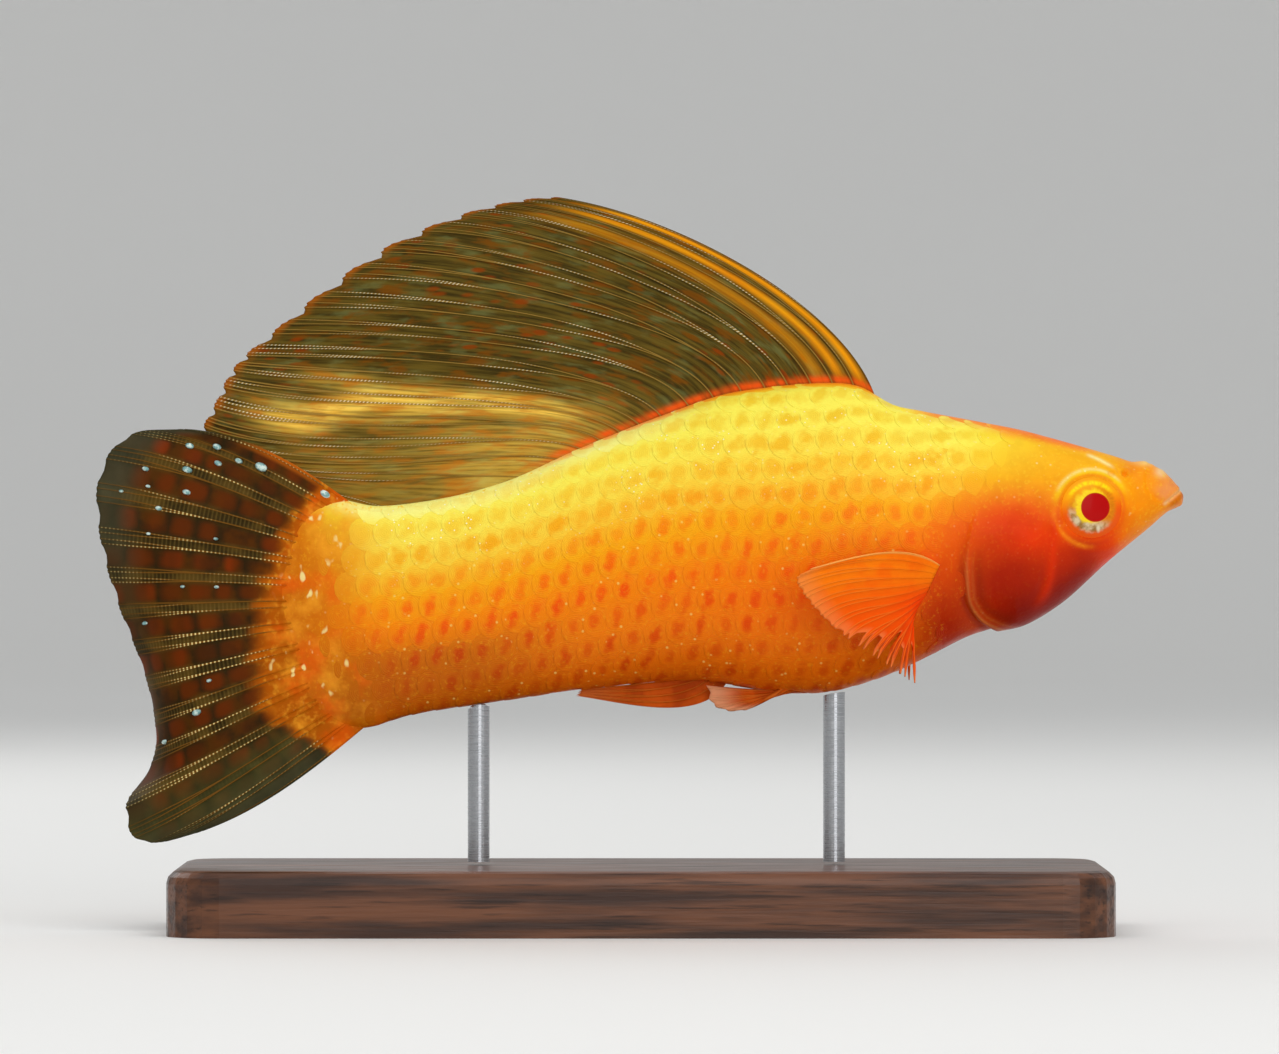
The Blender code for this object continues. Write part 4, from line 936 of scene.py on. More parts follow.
def belly_fin_finish(name, tip):
    """Rusty membrane between its rays, paler at the tip."""
    finish = Finish(name, Roughness=0.5, Specular_IOR_Level=0.05)
    line, _, v = ray_lines(finish, PELVIC_RAYS, SMALL_FORKS, 0.1)[:3]
    cloud = finish.noise(finish.object_place(), 420, 3)
    colour = finish.mix(cloud.smooth(0.35, 0.65), linear(172, 62, 4), linear(206, 84, 10))
    colour = colour.under(line * 0.4, linear(214, 120, 40))
    return finish.done(colour.under(v.smooth(0.6, 0.95, 0, 0.75), tip), line + cloud, 0.00004)


def glint_finish():
    """Pale blue-white flecks with a pearly coat."""
    finish = Finish("tail_glints", Roughness=0.3, Coat_Weight=0.2, Coat_Roughness=0.05)
    cloud = finish.noise(finish.object_place(), 2600).smooth(0.4, 0.62)
    return finish.done(finish.mix(cloud, linear(120, 166, 164), linear(212, 232, 222)))


def wood_finish():
    """Dark polished wood, its grain stretched along the base."""
    finish = Finish("dark_wood", Coat_Weight=0.15, Coat_Roughness=0.15, Specular_IOR_Level=0.3)
    grain = finish.noise(finish.object_place((12, 160, 160)), 4, 6)
    pore = finish.noise(finish.object_place((40, 900, 900)), 3, 3)
    colour = finish.mix(grain.smooth(0.34, 0.66), WOOD_DARK, WOOD_LIGHT)
    colour = colour.under(pore.smooth(0.56, 0.7, 0, 0.6), (0.008, 0.004, 0.002))
    return finish.done(colour, grain + pore, 0.00005, pore.smooth(0.4, 0.7, 0.3, 0.5))


def steel_finish():
    """Brushed steel, with fine lines round the rod."""
    finish = Finish("brushed_steel", Metallic=1.0)
    lines = finish.noise(finish.object_place((300, 300, 9000)), 1, 3)
    colour = finish.mix(lines, linear(150, 152, 156), STEEL_GREY)
    return finish.done(colour, lines, 0.00001, lines.smooth(0.3, 0.7, 0.2, 0.36))


def floor_finish():
    """Plain pale matt floor."""
    finish = Finish("pale_floor", Roughness=0.8)
    return finish.done(finish.mix(finish.noise(finish.object_place(), 3), FLOOR_GREY, linear(242, 241, 238)))


def grid_faces(rows, columns, closed):
    """Corner numbers of a grid's quads, whose columns run round if closed."""
    across = columns if closed else columns - 1
    row, column = np.meshgrid(np.arange(rows - 1), np.arange(across), indexing="ij")
    after = (column + 1) % columns
    low = row * columns
    corners = [low + column, low + after, low + columns + after, low + columns + column]
    return np.stack(corners, -1).reshape(-1, 4)


def rim_of(rows, columns):
    """Corner numbers once round the edge of a grid, and the corner that follows each."""
    rim = np.concatenate([np.arange(columns), np.arange(1, rows) * columns + columns - 1,
                          (rows - 1) * columns + np.arange(columns - 2, -1, -1),
                          np.arange(rows - 2, 0, -1) * columns])
    return rim, np.roll(rim, -1)


def cap_faces(columns, first, pole):
    """Triangles between a ring that starts at corner number first and a pole."""
    column = np.arange(columns)
    return np.stack([first + column, first + (column + 1) % columns, np.full(columns, pole)], -1)


def closed_faces(rows, columns):
    """Faces of a body of rings with a pole at either end, whose two corners come last."""
    count = rows * columns
    return [grid_faces(rows, columns, True), cap_faces(columns, 0, count)[:, ::-1],
            cap_faces(columns, count - columns, count + 1)]


def signed_volume(points, faces):
    """Volume inside closed faces, positive where they point outwards."""
    total = 0.0
    for group in faces:
        a = points[group[:, 0]]
        for corner in range(1, group.shape[1] - 1):
            total += np.einsum("ij,ij->", a, np.cross(points[group[:, corner]], points[group[:, corner + 1]]))
    return total / 6


def make_piece(name, points, faces, nodes, material):
    """Mesh object from points in metres and arrays of corner numbers, facing out, riding the frame."""
    points = points.reshape(-1, 3)
    if signed_volume(points, faces) < 0:
        faces = [group[:, ::-1] for group in faces]
    mesh = bpy.data.meshes.new(name)
    mesh.from_pydata(points.tolist(), [], [face for group in faces for face in group.tolist()])
    mesh.shade_smooth()
    mesh.materials.append(material)
    item = bpy.data.objects.new(name, mesh)
    bpy.context.collection.objects.link(item)
    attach(item, "root")
    if nodes:
        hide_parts(*nodes)
    return item


def set_uv(item, name, values):
    """UV map from one pair of numbers a point."""
    corners = np.empty(len(item.data.loops), int)
    item.data.loops.foreach_get("vertex_index", corners)
    layer = item.data.uv_layers.new(name=name)
    layer.data.foreach_set("uv", values.reshape(-1, 2)[corners].astype(np.float32).ravel())


def set_colour(item, name, values):
    colours = np.concatenate([values.reshape(-1, 3), np.ones((values.size // 3, 1))], 1)
    layer = item.data.attributes.new(name, "FLOAT_COLOR", "POINT")
    layer.data.foreach_set("color", colours.astype(np.float32).ravel())


def set_value(item, name, values):
    layer = item.data.attributes.new(name, "FLOAT", "POINT")
    layer.data.foreach_set("value", values.astype(np.float32).ravel())


def make_skin(colours):
    """One skin over the whole body: body_form on a grid, moved out along its normals by skin_relief."""
    head = HEAD_END * (np.arange(1, HEAD_ROWS + 1) / HEAD_ROWS) ** HEAD_CROWDING
    trunk = np.linspace(HEAD_END, TONGUE_FROM, TRUNK_ROWS + 1)[1:]
    quarter = np.linspace(0, math.pi / 2, TONGUE_ROWS + 1)[1:-1]
    rear = TONGUE_FROM + (TONGUE_END - TONGUE_FROM) * np.sin(quarter)
    s = np.concatenate([head, trunk, rear])[:, None]
    turn = np.linspace(0, 2 * math.pi, SKIN_ROUND, endpoint=False)[None, :]
    s, turn = np.broadcast_arrays(s, turn)
    points = body_form(s, turn)
    relief = skin_relief(points[..., 0], points[..., 1], points[..., 2])
    points = points + body_normal(s, turn) * relief[..., None]
    poles = np.array([[points[0, :, 0].mean(), 0, points[0, :, 2].mean()],
                      [TONGUE_END - 0.02, 0, TONGUE_MIDDLE]])
    flat = np.concatenate([points.reshape(-1, 3), poles])
    skin = make_piece("fish_skin", place(flat), closed_faces(*s.shape),
                      ["head", "lower_jaw", "gill_cover_right", "gill_cover_left", "trunk", "tail_stem"],
                      skin_finish())
    set_colour(skin, "tone", body_tone(flat[:, 0], flat[:, 2], colours))
    set_value(skin, "rear", ease(flat[:, 0], 74, 5))
    return skin


def girth_table():
    """Turn at even shares of the way round from the side to the back and belly, at even s.

    Each quarter's arc is summed over small steps of turn, and the sums are inverted for all
    stations at once, by setting them end to end.
    """
    s = np.linspace(8, TONGUE_END - 0.5, GIRTH_STATIONS)
    quarter = np.linspace(0, math.pi / 2, GIRTH_STEPS)
    share = np.linspace(0, 1, GIRTH_SHARES)
    turns, lengths = [], []
    for way in (1, -1):
        points = body_form(*np.broadcast_arrays(s[:, None], way * quarter[None, :]))
        arc = np.concatenate([np.zeros((len(s), 1)),
                              np.cumsum(np.linalg.norm(np.diff(points, axis=1), axis=-1), 1)], 1)
        lengths.append(arc[:, -1])
        shift = 2.0 * np.arange(len(s))[:, None]
        found = np.interp((share + shift).ravel(), (arc / arc[:, -1:] + shift).ravel(),
                          np.tile(quarter, len(s)))
        turns.append(found.reshape(len(s), -1))
    return s, share, turns, lengths


def around(s, arc, table):
    """Turn at s, on the left side, for an arc measured up from the side's middle in millimetres."""
    stations, shares, turns, lengths = table
    result = []
    for way in (0, 1):
        reach = np.interp(s, stations, lengths[way])
        share = np.abs(arc) / reach
        folded = np.where(share > 1, 2 - share, share)
        row = np.clip((s - stations[0]) / (stations[1] - stations[0]), 0, len(stations) - 1.001)
        column = np.clip(folded, 0, 1) * (len(shares) - 1.001)
        i, j = row.astype(int), column.astype(int)
        a, b = row - i, column - j
        grid = turns[way]
        turn = ((grid[i, j] * (1 - b) + grid[i, j + 1] * b) * (1 - a)
                + (grid[i + 1, j] * (1 - b) + grid[i + 1, j + 1] * b) * a)
        result.append(np.where(share > 1, math.pi - turn, turn))
    return np.where(arc >= 0, result[0], -result[1])


def scale_roots(sizes, table):
    """Places of one side's scales: rows at even arcs, every other row half a pitch further back."""
    stations, _, _, lengths = table
    row, step = np.meshgrid(np.arange(-SCALE_ROWS_EACH_WAY, SCALE_ROWS_EACH_WAY + 1),
                            np.arange(SCALE_STEPS), indexing="ij")
    s = SCALE_FIRST + (step + 0.5 * (row % 2)) * sizes.scale_pitch
    arc = row * sizes.scale_row
    row, s, arc = row.ravel(), s.ravel(), arc.ravel()
    reach = np.where(arc >= 0, np.interp(s, stations, lengths[0]), np.interp(s, stations, lengths[1]))
    h = body_form(s, around(s, np.clip(arc, -reach, reach), table))[:, 2]
    keep = (np.abs(arc) < reach * SCALE_REACH) & (s > through(SCALE_START, h)) & (s < through(SCALE_END, h))
    return s[keep], arc[keep]


def make_scales(name, side, colours, sizes):
    """Overlapping scales on one side, all worked out at once.

    Each is a thin rounded plate over its own grid: a superellipse in s and arc, laid on the
    flesh, lifted evenly from its root to its free rear edge and domed across.
    """
    table = girth_table()
    root_s, root_arc = scale_roots(sizes, table)
    count = len(root_s)
    random = np.random.default_rng(SCALE_SEED + side)
    size = random.uniform(*SCALE_SIZES, (count, 1, 1))
    tilt = random.normal(0, SCALE_TILT, (count, 1, 1))
    lift = random.uniform(*SCALE_LIFTS, (count, 1, 1))
    x = np.array(SCALE_STATIONS)[:, None]
    y = np.linspace(-1, 1, SCALE_ACROSS)[None, :]
    rows, columns = x.shape[0], y.shape[1]
    outline = (1 - np.abs(x) ** SCALE_POWER) ** 0.5
    x, y, outline = np.broadcast_arrays(x, y, outline)
    along = x * SCALE_HALF_LENGTH * size
    across = y * outline * SCALE_HALF_HEIGHT * size
    s = root_s[:, None, None] + along - across * tilt
    arc = root_arc[:, None, None] + across + along * tilt
    turn = around(s, arc, table)
    turn = turn if side > 0 else math.pi - turn
    base, normal = body_form(s, turn), body_normal(s, turn)
    rise = (x + 1) / 2
    raised = (SCALE_LIFT[0] + (SCALE_LIFT[1] - SCALE_LIFT[0]) * lift * rise**1.1
              + SCALE_DOME * (1 - y**2) * rise)
    raised = raised - COAT_DEPTH * smooth_step(1.5 - (through(BACK, s) - base[..., 2]) / 0.5)
    top = base + normal * raised[..., None]
    low = base + normal * (raised - SCALE_THICKNESS)[..., None]
    points = np.stack([top, low], 1)
    one = rows * columns
    upper = grid_faces(rows, columns, False)
    rim, after = rim_of(rows, columns)
    walls = np.stack([rim, rim + one, after + one, after], -1)
    single = np.concatenate([upper, upper[:, ::-1] + one, walls])
    faces = [(single[None] + 2 * one * np.arange(count)[:, None, None]).reshape(-1, 4)]
    coat = make_piece(name, place(points.reshape(-1, 3)), faces, [], scale_finish())
    heart_s = np.broadcast_to(root_s[:, None, None, None], points.shape[:-1])
    heart_h = np.broadcast_to(base[:, 3:4, 3:5, 2].mean(2, keepdims=True)[:, None], points.shape[:-1])
    tone_s = (heart_s * HEART_SHARE + points[..., 0] * (1 - HEART_SHARE)).ravel()
    tone_h = (heart_h * HEART_SHARE + points[..., 2] * (1 - HEART_SHARE)).ravel()
    net, heart, marks = scale_colours(tone_s, tone_h, body_tone(tone_s, tone_h, colours), colours)
    coat.data.set_sharp_from_angle(angle=SHARP_ANGLE)
    faint = np.broadcast_to(random.uniform(0, HEART_FADE, (count, 1, 1, 1)), points.shape[:-1]).ravel()
    for layer, values in (("net", net), ("heart", mix(heart, net, faint)), ("marks", marks)):
        set_colour(coat, layer, values)
    local = np.stack([(x + 1) / 2, (y * outline + 1) / 2], -1)
    local = np.broadcast_to(local[None, None], (count, 2, rows, columns, 2))
    set_uv(coat, "ScalePlace", np.ascontiguousarray(local))
    root = np.stack([root_s / BAKE_SPAN[0], 0.5 + root_arc / BAKE_SPAN[1]], -1)[:, None, None, None]
    set_uv(coat, "OFBake", root + (local - 0.5) * BAKE_PATCH)
    return coat


def scale_colours(s, h, tone, colours):
    """Each scale's net and heart colours, and the shape and strength of its heart.

    On the back the net is pale and the hearts are broad and tan. Lower down both are orange,
    and the hearts are narrow and redder. Both fade into the skin's tone at either end.
    """
    top, bottom = through(BACK, s), through(BELLY, s)
    t = (h - bottom) / (top - bottom)
    net = ramp(t, (0.05, linear(226, 104, 8)), (0.22, linear(250, 132, 14)), (0.4, linear(255, 140, 8)),
               (0.58, linear(255, 176, 16)), (0.74, linear(255, 222, 70)), (0.88, colours.scale_net))
    heart = ramp(t, (0.05, linear(200, 64, 4)), (0.22, linear(232, 72, 3)), (0.4, linear(252, 78, 2)),
                 (0.56, linear(254, 122, 4)), (0.72, linear(252, 172, 22)), (0.9, linear(244, 200, 44)))
    # Painted highlight along the top edge of the back: crest lightens the nets and hearts there.
    crest = ease(t, 0.9, 0.08) * ease(s, 40, 12)
    low = ease(t, 0.42, -0.2) * ease(s, 54, 14)
    shown = ease(s - through(SCALE_START, h), 0.5, 7) * ease(through(SCALE_END, h) - s, -0.5, 7)
    red = spot(s, h, (30, -4), (12, 5))
    net = laid(net, (CREST_HIGHLIGHT, 0.9 * crest), (linear(188, 94, 8), 0.7 * low),
               (tone, 1 - 0.85 * shown * (1 - 0.6 * red)))
    # Painted highlight: the hearts of the upper rear lightened towards yellow.
    heart = laid(heart, (linear(255, 214, 56), 0.6 * ease(t, 0.78, 0.1) * ease(s, 38, 12)),
                 (CREST_HIGHLIGHT, 0.5 * crest), (linear(178, 66, 4), 0.6 * low),
                 (tone, 1 - 0.9 * shown * (1 - 0.4 * red)))
    length = 0.5 + 0.5 * ease(t, 0.5, 0.25)
    # The third mark is how strong the painted sparkle is, on the upper flank.
    return net, heart, np.stack([length, shown, ease(t, 0.55, 0.3) * shown], -1)


def make_eye(name, side, sizes, colours):
    """Flattened dome: a profile of radius and rise, carried round and laid on the head's slope."""
    front = np.linspace(0, 1, EYE_RINGS)[1:]
    radius = np.concatenate([front, [ring[0] for ring in EYE_BACK]])
    rise = np.concatenate([(sizes.eye_rise + EYE_EDGE) * (1 - front**EYE_DOME_POWER) - EYE_EDGE,
                           [ring[1] for ring in EYE_BACK]])
    turn = np.linspace(0, 2 * math.pi, EYE_ROUND, endpoint=False)
    s = EYE[0] + EYE_RADIUS * radius[:, None] * np.cos(turn)
    h = EYE[1] + EYE_RADIUS * radius[:, None] * np.sin(turn)
    share = ease(radius[:, None], 0.55, 0.4)
    y = side * (eye_plane(s, h) * (1 - share) + half_width_at(s, h) * share + rise[:, None])
    ends_y = side * (eye_plane(*np.array(EYE)) + np.array([sizes.eye_rise, EYE_BOTTOM]))
    poles = [[EYE[0], ends_y[0], EYE[1]], [EYE[0], ends_y[1], EYE[1]]]
    points = np.concatenate([np.stack([s, y, h], -1).reshape(-1, 3), poles])
    eye = make_piece(name, place(points), closed_faces(*s.shape), ["eye_" + name.split("_")[-1]],
                     eye_finish(colours))
    plane = np.stack([points[:, 0] - EYE[0], points[:, 2] - EYE[1]], -1) / (2 * EYE_RADIUS) + 0.5
    set_uv(eye, "EyePlane", plane)
    return eye


def ray_curve(root, tip, root_angle, tip_angle, v, pull=1.0):
    """Cubic from root to tip, leaving and arriving at the given angles above the backward axis.

    pull is how far it keeps to its first angle, as a share of its length.
    """
    length = np.linalg.norm(tip - root, axis=-1, keepdims=True)
    leave = length * np.stack([pull * np.cos(root_angle), pull * np.sin(root_angle)], -1)
    arrive = length * np.stack([np.cos(tip_angle), np.sin(tip_angle)], -1)
    v = v[..., None]
    return ((2 * v**3 - 3 * v**2 + 1) * root + (v**3 - 2 * v**2 + v) * leave
            + (3 * v**2 - 2 * v**3) * tip + (v**3 - v**2) * arrive)


def fan(root, tips, root_angle, tip_angle, u, v, pull=1.0):
    """Side view (s, h) of a fin: u runs from its first ray to its last, v from root to tip."""
    tip = curve(tips, u)
    leave, arrive = (np.radians(through(angle, u)) for angle in (root_angle, tip_angle))
    return ray_curve(root, tip, leave, arrive, v, pull)


def sail_surface(u, v):
    """The sail's middle: rays fanned from the back, leaning left towards the rear, gently waved."""
    s = through(DORSAL_ROOTS, u)
    root = np.stack([s, through(BACK, s) - DORSAL_SUNK], -1)
    side = fan(root, DORSAL_TIPS, DORSAL_ROOT_ANGLE, DORSAL_TIP_ANGLE, u, v, through(DORSAL_PULL, u))
    lean = DORSAL_LEAN * ease(side[..., 0], DORSAL_LEAN_FROM, DORSAL_LEAN_OVER)
    wave = DORSAL_WAVE * np.sin(2 * math.pi * (2.5 * u + 0.7 * v)) * v
    return np.stack([side[..., 0], lean + wave, side[..., 1]], -1)


def tail_surface(u, v):
    """The tail fin's middle: fanned rays whose ends follow an arc towards the left."""
    h = TAIL_ROOT[0] + (TAIL_ROOT[1] - TAIL_ROOT[0]) * u
    knots = [(-height, where) for where, height in STEM_END]
    angle = np.radians(through(TAIL_ROOT_ANGLE, u))
    root = np.stack([through(knots, -h) - TAIL_SUNK * np.cos(angle), h - TAIL_SUNK * np.sin(angle)], -1)
    curl = np.maximum(np.radians(through(TAIL_CURL, u)), LEAST_CURL)
    past = np.clip((v - TAIL_CURL_FROM) / (1 - TAIL_CURL_FROM), 0, None)
    flat = np.minimum(v, TAIL_CURL_FROM) + (1 - TAIL_CURL_FROM) * np.sin(curl * past) / curl
    side = fan(root, TAIL_TIPS, TAIL_ROOT_ANGLE, TAIL_TIP_ANGLE, u, flat)
    bent = np.linalg.norm(curve(TAIL_TIPS, u) - root, axis=-1) * (1 - TAIL_CURL_FROM)
    y = bent * (1 - np.cos(curl * past)) / curl
    wave = TAIL_WAVE * np.sin(2 * math.pi * 3 * u) * v
    return np.stack([side[..., 0], y + wave, side[..., 1]], -1)


def pectoral_surface(side):
    """A side fin's middle: its side view, held away from the body by a slope."""
    spread = LEFT_SPREAD if side > 0 else RIGHT_SPREAD

    def surface(u, v):
        front, rear = np.array(PECTORAL_ROOT)
        root = front + (rear - front) * u[..., None]
        flat = fan(root, PECTORAL_TIPS, PECTORAL_ROOT_ANGLE, PECTORAL_TIP_ANGLE, u, v)
        start = half_width_at(root[..., 0], root[..., 1]) - PECTORAL_SUNK
        run = np.linalg.norm(flat - root, axis=-1)
        cup = PECTORAL_CUP * np.sin(math.pi * np.clip(u, 0, 1)) * v * (1 - v)
        return np.stack([flat[..., 0], side * (start + spread * run + cup), flat[..., 1]], -1)
    return surface


def belly_height(s, y):
    """Height of the underside at s and sideways place y."""
    _, bottom, width, middle, _, below = section(s)
    return middle - (middle - bottom) * (1 - np.clip(np.abs(y) / width, 0, 1) ** below) ** (1 / below)


def pelvic_surface(side):
    """A belly fin's middle: straight lines from its root to its tip, sagging a little."""
    def surface(u, v):
        front, rear = np.array(PELVIC_ROOT)
        line = front + (rear - front) * u[..., None]
        high = belly_height(line[..., 0], line[..., 1]) + BELLY_SUNK
        root = np.stack([line[..., 0], side * line[..., 1], high], -1)
        tip = np.stack([through(PELVIC_TIPS, u, 1), side * through(PELVIC_TIPS, u, 2),
                        through(PELVIC_TIPS, u, 3)], -1)
        sag = np.stack([0 * u, 0 * u, -4 * PELVIC_SAG * v * (1 - v)], -1)
        return root + (tip - root) * v[..., None] + sag
    return surface


def rod_fin_surface(u, v):
    """The rod's middle: a narrow fan under the belly."""
    s = ROD_FIN_ROOT[0] + (ROD_FIN_ROOT[1] - ROD_FIN_ROOT[0]) * u
    root = np.stack([s, through(BELLY, s) + BELLY_SUNK], -1)
    side = fan(root, ROD_FIN_TIPS, ROD_FIN_ROOT_ANGLE, ROD_FIN_TIP_ANGLE, u, v)
    return np.stack([side[..., 0], 0 * u, side[..., 1]], -1)


def ray_offset(u, v, rays, forks):
    """Distances from the nearest branch of the nearest ray and from the ray, in ray spacings."""
    ray = u * (rays - 1)
    off = np.abs(ray - np.round(ray))
    plain = off
    for fork, spread in forks:
        off = np.abs(off - spread * ease(v, fork, FORK_LENGTH))
    return off, plain


def make_fin(name, surface, rays, forks, rows, per_ray, half, ridge, notch, slot, nodes, material,
             start=0.72):
    """Closed thin fin: a middle surface with half its thickness laid off on both sides.

    Half the thickness is the membrane's plus a rounded ridge on each branching ray. The margin
    is drawn in between the rays by notch, in mm, from u and the distances from ray and branch.
    """
    u = np.linspace(0, 1, (rays - 1) * per_ray + 1)[None, :]
    v = np.linspace(0, 1, rows)[:, None]
    u, v = (np.array(item) for item in np.broadcast_arrays(u, v))
    off, plain = ray_offset(u, v, rays, forks)
    middle = surface(u, v)
    length = np.linalg.norm(np.diff(middle, axis=0), axis=-1).sum(0)
    gauge = np.linalg.norm(np.gradient(middle, axis=1), axis=-1) * per_ray
    off = off * gauge
    drawn = drawn_in(v, notch(u, plain, off) / length, start)
    middle = surface(u, drawn)
    normal = np.cross(np.gradient(middle, axis=0), np.gradient(middle, axis=1))
    normal /= np.linalg.norm(normal, axis=-1, keepdims=True)
    round_ray = np.sqrt(np.clip(1 - (off / RAY_HALF) ** 2, 0, 1))
    thick = (half(u, v) + ridge * ease(v, 0, 0.25) * (1 - 0.5 * v) * round_ray)[..., None]
    sides = np.stack([middle + normal * thick, middle - normal * thick])
    one = u.size
    columns = u.shape[1]
    upper = grid_faces(rows, columns, False)
    rim, after = rim_of(rows, columns)
    walls = np.stack([rim, after, after + one, rim + one], -1)
    faces = [upper[:, ::-1], upper + one, walls]
    fin = make_piece(name, place(sides.reshape(-1, 3)), faces, nodes, material)
    both = np.stack([np.stack([u, v], -1)] * 2)
    set_uv(fin, "FinPlace", both)
    steps = np.linalg.norm(np.diff(middle, axis=0), axis=-1)
    run = np.concatenate([np.zeros((1, columns)), np.cumsum(steps, 0)])
    set_value(fin, "run", np.stack([run, run]))
    set_value(fin, "gauge", np.stack([gauge, gauge]))
    return fin, middle, normal, both


def set_zones(fin, *zones):
    """Up to three zones of a fin, the same on both of its faces, as one attribute."""
    set_colour(fin, "zones", np.stack([np.stack(zones, -1)] * 2))


def drawn_in(v, share, start):
    """Where v goes when the margin is drawn in by share of the length, smoothly from start."""
    return v * (1 - share * ease(v, start, 1 - start))


def thin(root_half):
    """Half thickness of a small fin: root_half at its root, thinning to a fine margin."""
    return lambda u, v: (MEMBRANE_HALF + (root_half - MEMBRANE_HALF) * np.exp(-v / 0.08)
                         - MARGIN_THINNER * ease(v, 0.8, 0.2))


def tail_half(u, v):
    """Half thickness of the tail fin: as thick as the stem at its root, thinning to a membrane."""
    root = 0.3 + 0.3 * (1 - (2 * u - 1) ** 2)
    return 0.1 + (root - 0.1) * np.exp(-(v / 0.25) ** 2) - MARGIN_THINNER * ease(v, 0.8, 0.2)


def make_sail(colours):
    """The dorsal fin, with its stripes, yellow patch and red root line as zones."""
    notch = lambda u, ray, off: (0.13 + 0.32 * (1 + 2.6 * bell(u - 0.3, 0.24)) * (2 * ray) ** 1.5
                                 + 0.2 * (1 - bell(off, 0.2)))
    fin, middle, _, both = make_fin(
        "dorsal_fin_sail", sail_surface, DORSAL_RAYS, SAIL_FORKS, *SAIL_GRID, thin(0.5), 0.1, notch,
        "olive_fin", ["dorsal_fin"], sail_finish(colours))
    u, v = both[0, ..., 0], both[0, ..., 1]
    ray = u * (DORSAL_RAYS - 1)
    s, h = middle[..., 0], middle[..., 2]
    stripe = np.maximum(bell(ray - 0.52, 0.3), 0.9 * bell(ray - 1.5, 0.24))
    stripe = np.maximum(stripe, 0.45 * bell(ray - 2.5, 0.34)) * ease(v, 0, 0.12) * ease(v, 1.0, -0.25)
    band = 11.0 + 1.1 * ease(s, 72, 8)
    patch = (1.15 * bell(ray - band, 0.62) * ease(s, 50, 8) * ease(s, 86, -6)
             + 0.4 * bell(ray - 10.2, 0.4) * ease(s, 71, 4) * ease(s, 82, -5)
             + 0.3 * bell(ray - 12.0, 0.5) * ease(s, 62, 5) * ease(s, 77, -4))
    low = ease(h, 19, -5) * ease(s, 46, 12) * (1 - 0.55 * ease(s, 62, 9))
    patch = np.maximum(patch, 0.5 * low)
    line = bell(h - through(BACK, s) - 0.15, 0.36) * ease(s, 60, -6)
    set_zones(fin, stripe, np.clip(patch, 0, 1), 0.95 * line)
    return fin


def make_tail_fin(colours):
    """The tail fin, with its orange root, dark lower lobe and clear edge as zones."""
    notch = lambda u, ray, off: 0.22 * (2 * ray) ** 1.5 + 0.12 * (1 - bell(off, 0.3))
    fin, middle, normal, both = make_fin(
        "tail_fin", tail_surface, TAIL_RAYS, TAIL_FORKS, *TAIL_GRID, tail_half, 0.08, notch,
        "olive_fin", ["caudal_fin"], tail_finish(colours))
    u, v = both[0, ..., 0], both[0, ..., 1]
    s, h = middle[..., 0], middle[..., 2]
    soft = 2.0 + 3.0 * (1 - np.abs(2 * u - 1) ** 1.7)
    root = smooth_step(0.5 + (through(TAIL_ORANGE, h) - s) / soft)
    low = ease(u, 0.76, 0.12) * ease(v, 0.1, 0.3)
    clear = ease(v, 0.8, 0.15) * (0.3 + 0.7 * ease(u, 0.4, -0.15))
    clear = clear + 0.9 * bell(u - 1, 0.1) * ease(v, 0.12, 0.2)
    set_zones(fin, root, 0.75 * low, 0.9 * np.clip(clear, 0, 1))
    make_glints(middle, normal)
    return fin


def make_glints(middle, normal):
    """Low oval domes on both faces of the tail fin, at the nearest points of its grid."""
    flat, up = middle.reshape(-1, 3), normal.reshape(-1, 3)
    along = np.gradient(middle, axis=0).reshape(-1, 3)
    along /= np.linalg.norm(along, axis=-1, keepdims=True)
    glints = np.array(TAIL_GLINTS)
    away = (flat[None, :, 0] - glints[:, :1]) ** 2 + (flat[None, :, 2] - glints[:, 1:2]) ** 2
    nearest = away.argmin(1)
    turn = np.linspace(0, 2 * math.pi, GLINT_ROUND, endpoint=False)[None, None, :, None]
    radius = np.array(GLINT_RADII)[None, :, None, None]
    lift = np.array(GLINT_LIFTS)[None, :, None, None]
    centre, run, out = (array[nearest][:, None, None] for array in (flat, along, up))
    across = np.cross(run, out)
    half = glints[:, 2][:, None, None, None]
    sides = []
    for way in (1, -1):
        rings = (centre + half * radius * (np.cos(turn) * run + GLINT_WIDTH * np.sin(turn) * across)
                 + way * lift * out)
        tops = centre[:, 0] + way * GLINT_TOP * out[:, 0]
        feet = centre[:, 0] + way * GLINT_FOOT * out[:, 0]
        sides.append(np.concatenate([rings.reshape(len(glints), -1, 3), tops, feet], 1))
    points = np.concatenate(sides)
    shift = points.shape[1] * np.arange(len(points))[:, None, None]
    faces = []
    for group in closed_faces(len(GLINT_RADII), GLINT_ROUND):
        shifted, size = group[None] + shift, group.shape[-1]
        faces.append(shifted[:len(glints)].reshape(-1, size))
        faces.append(shifted[len(glints):, :, ::-1].reshape(-1, size))
    return make_piece("tail_glints", place(points.reshape(-1, 3)), faces, [], glint_finish())


class MakeSkin(bpy.types.Operator):
    """Makes the skin of the whole body, with lips, nostrils and gill covers."""

    bl_idname = "molly.make_skin"
    bl_label = "Make skin"

    def execute(self, context):
        make_skin(context.scene.molly_body)
        return {"FINISHED"}


class MakeScales(bpy.types.Operator):
    """Makes the overlapping scales of both sides."""

    bl_idname = "molly.make_scales"
    bl_label = "Make scales"

    def execute(self, context):
        for word, side in (("right", -1), ("left", 1)):
            make_scales("scales_" + word, side, context.scene.molly_body, context.scene.molly_sizes)
        return {"FINISHED"}


class MakeEyes(bpy.types.Operator):
    """Makes both eyes."""

    bl_idname = "molly.make_eyes"
    bl_label = "Make eyes"

    def execute(self, context):
        for word, side in (("right", -1), ("left", 1)):
            make_eye("eyeball_" + word, side, context.scene.molly_sizes, context.scene.molly_fins)
        return {"FINISHED"}


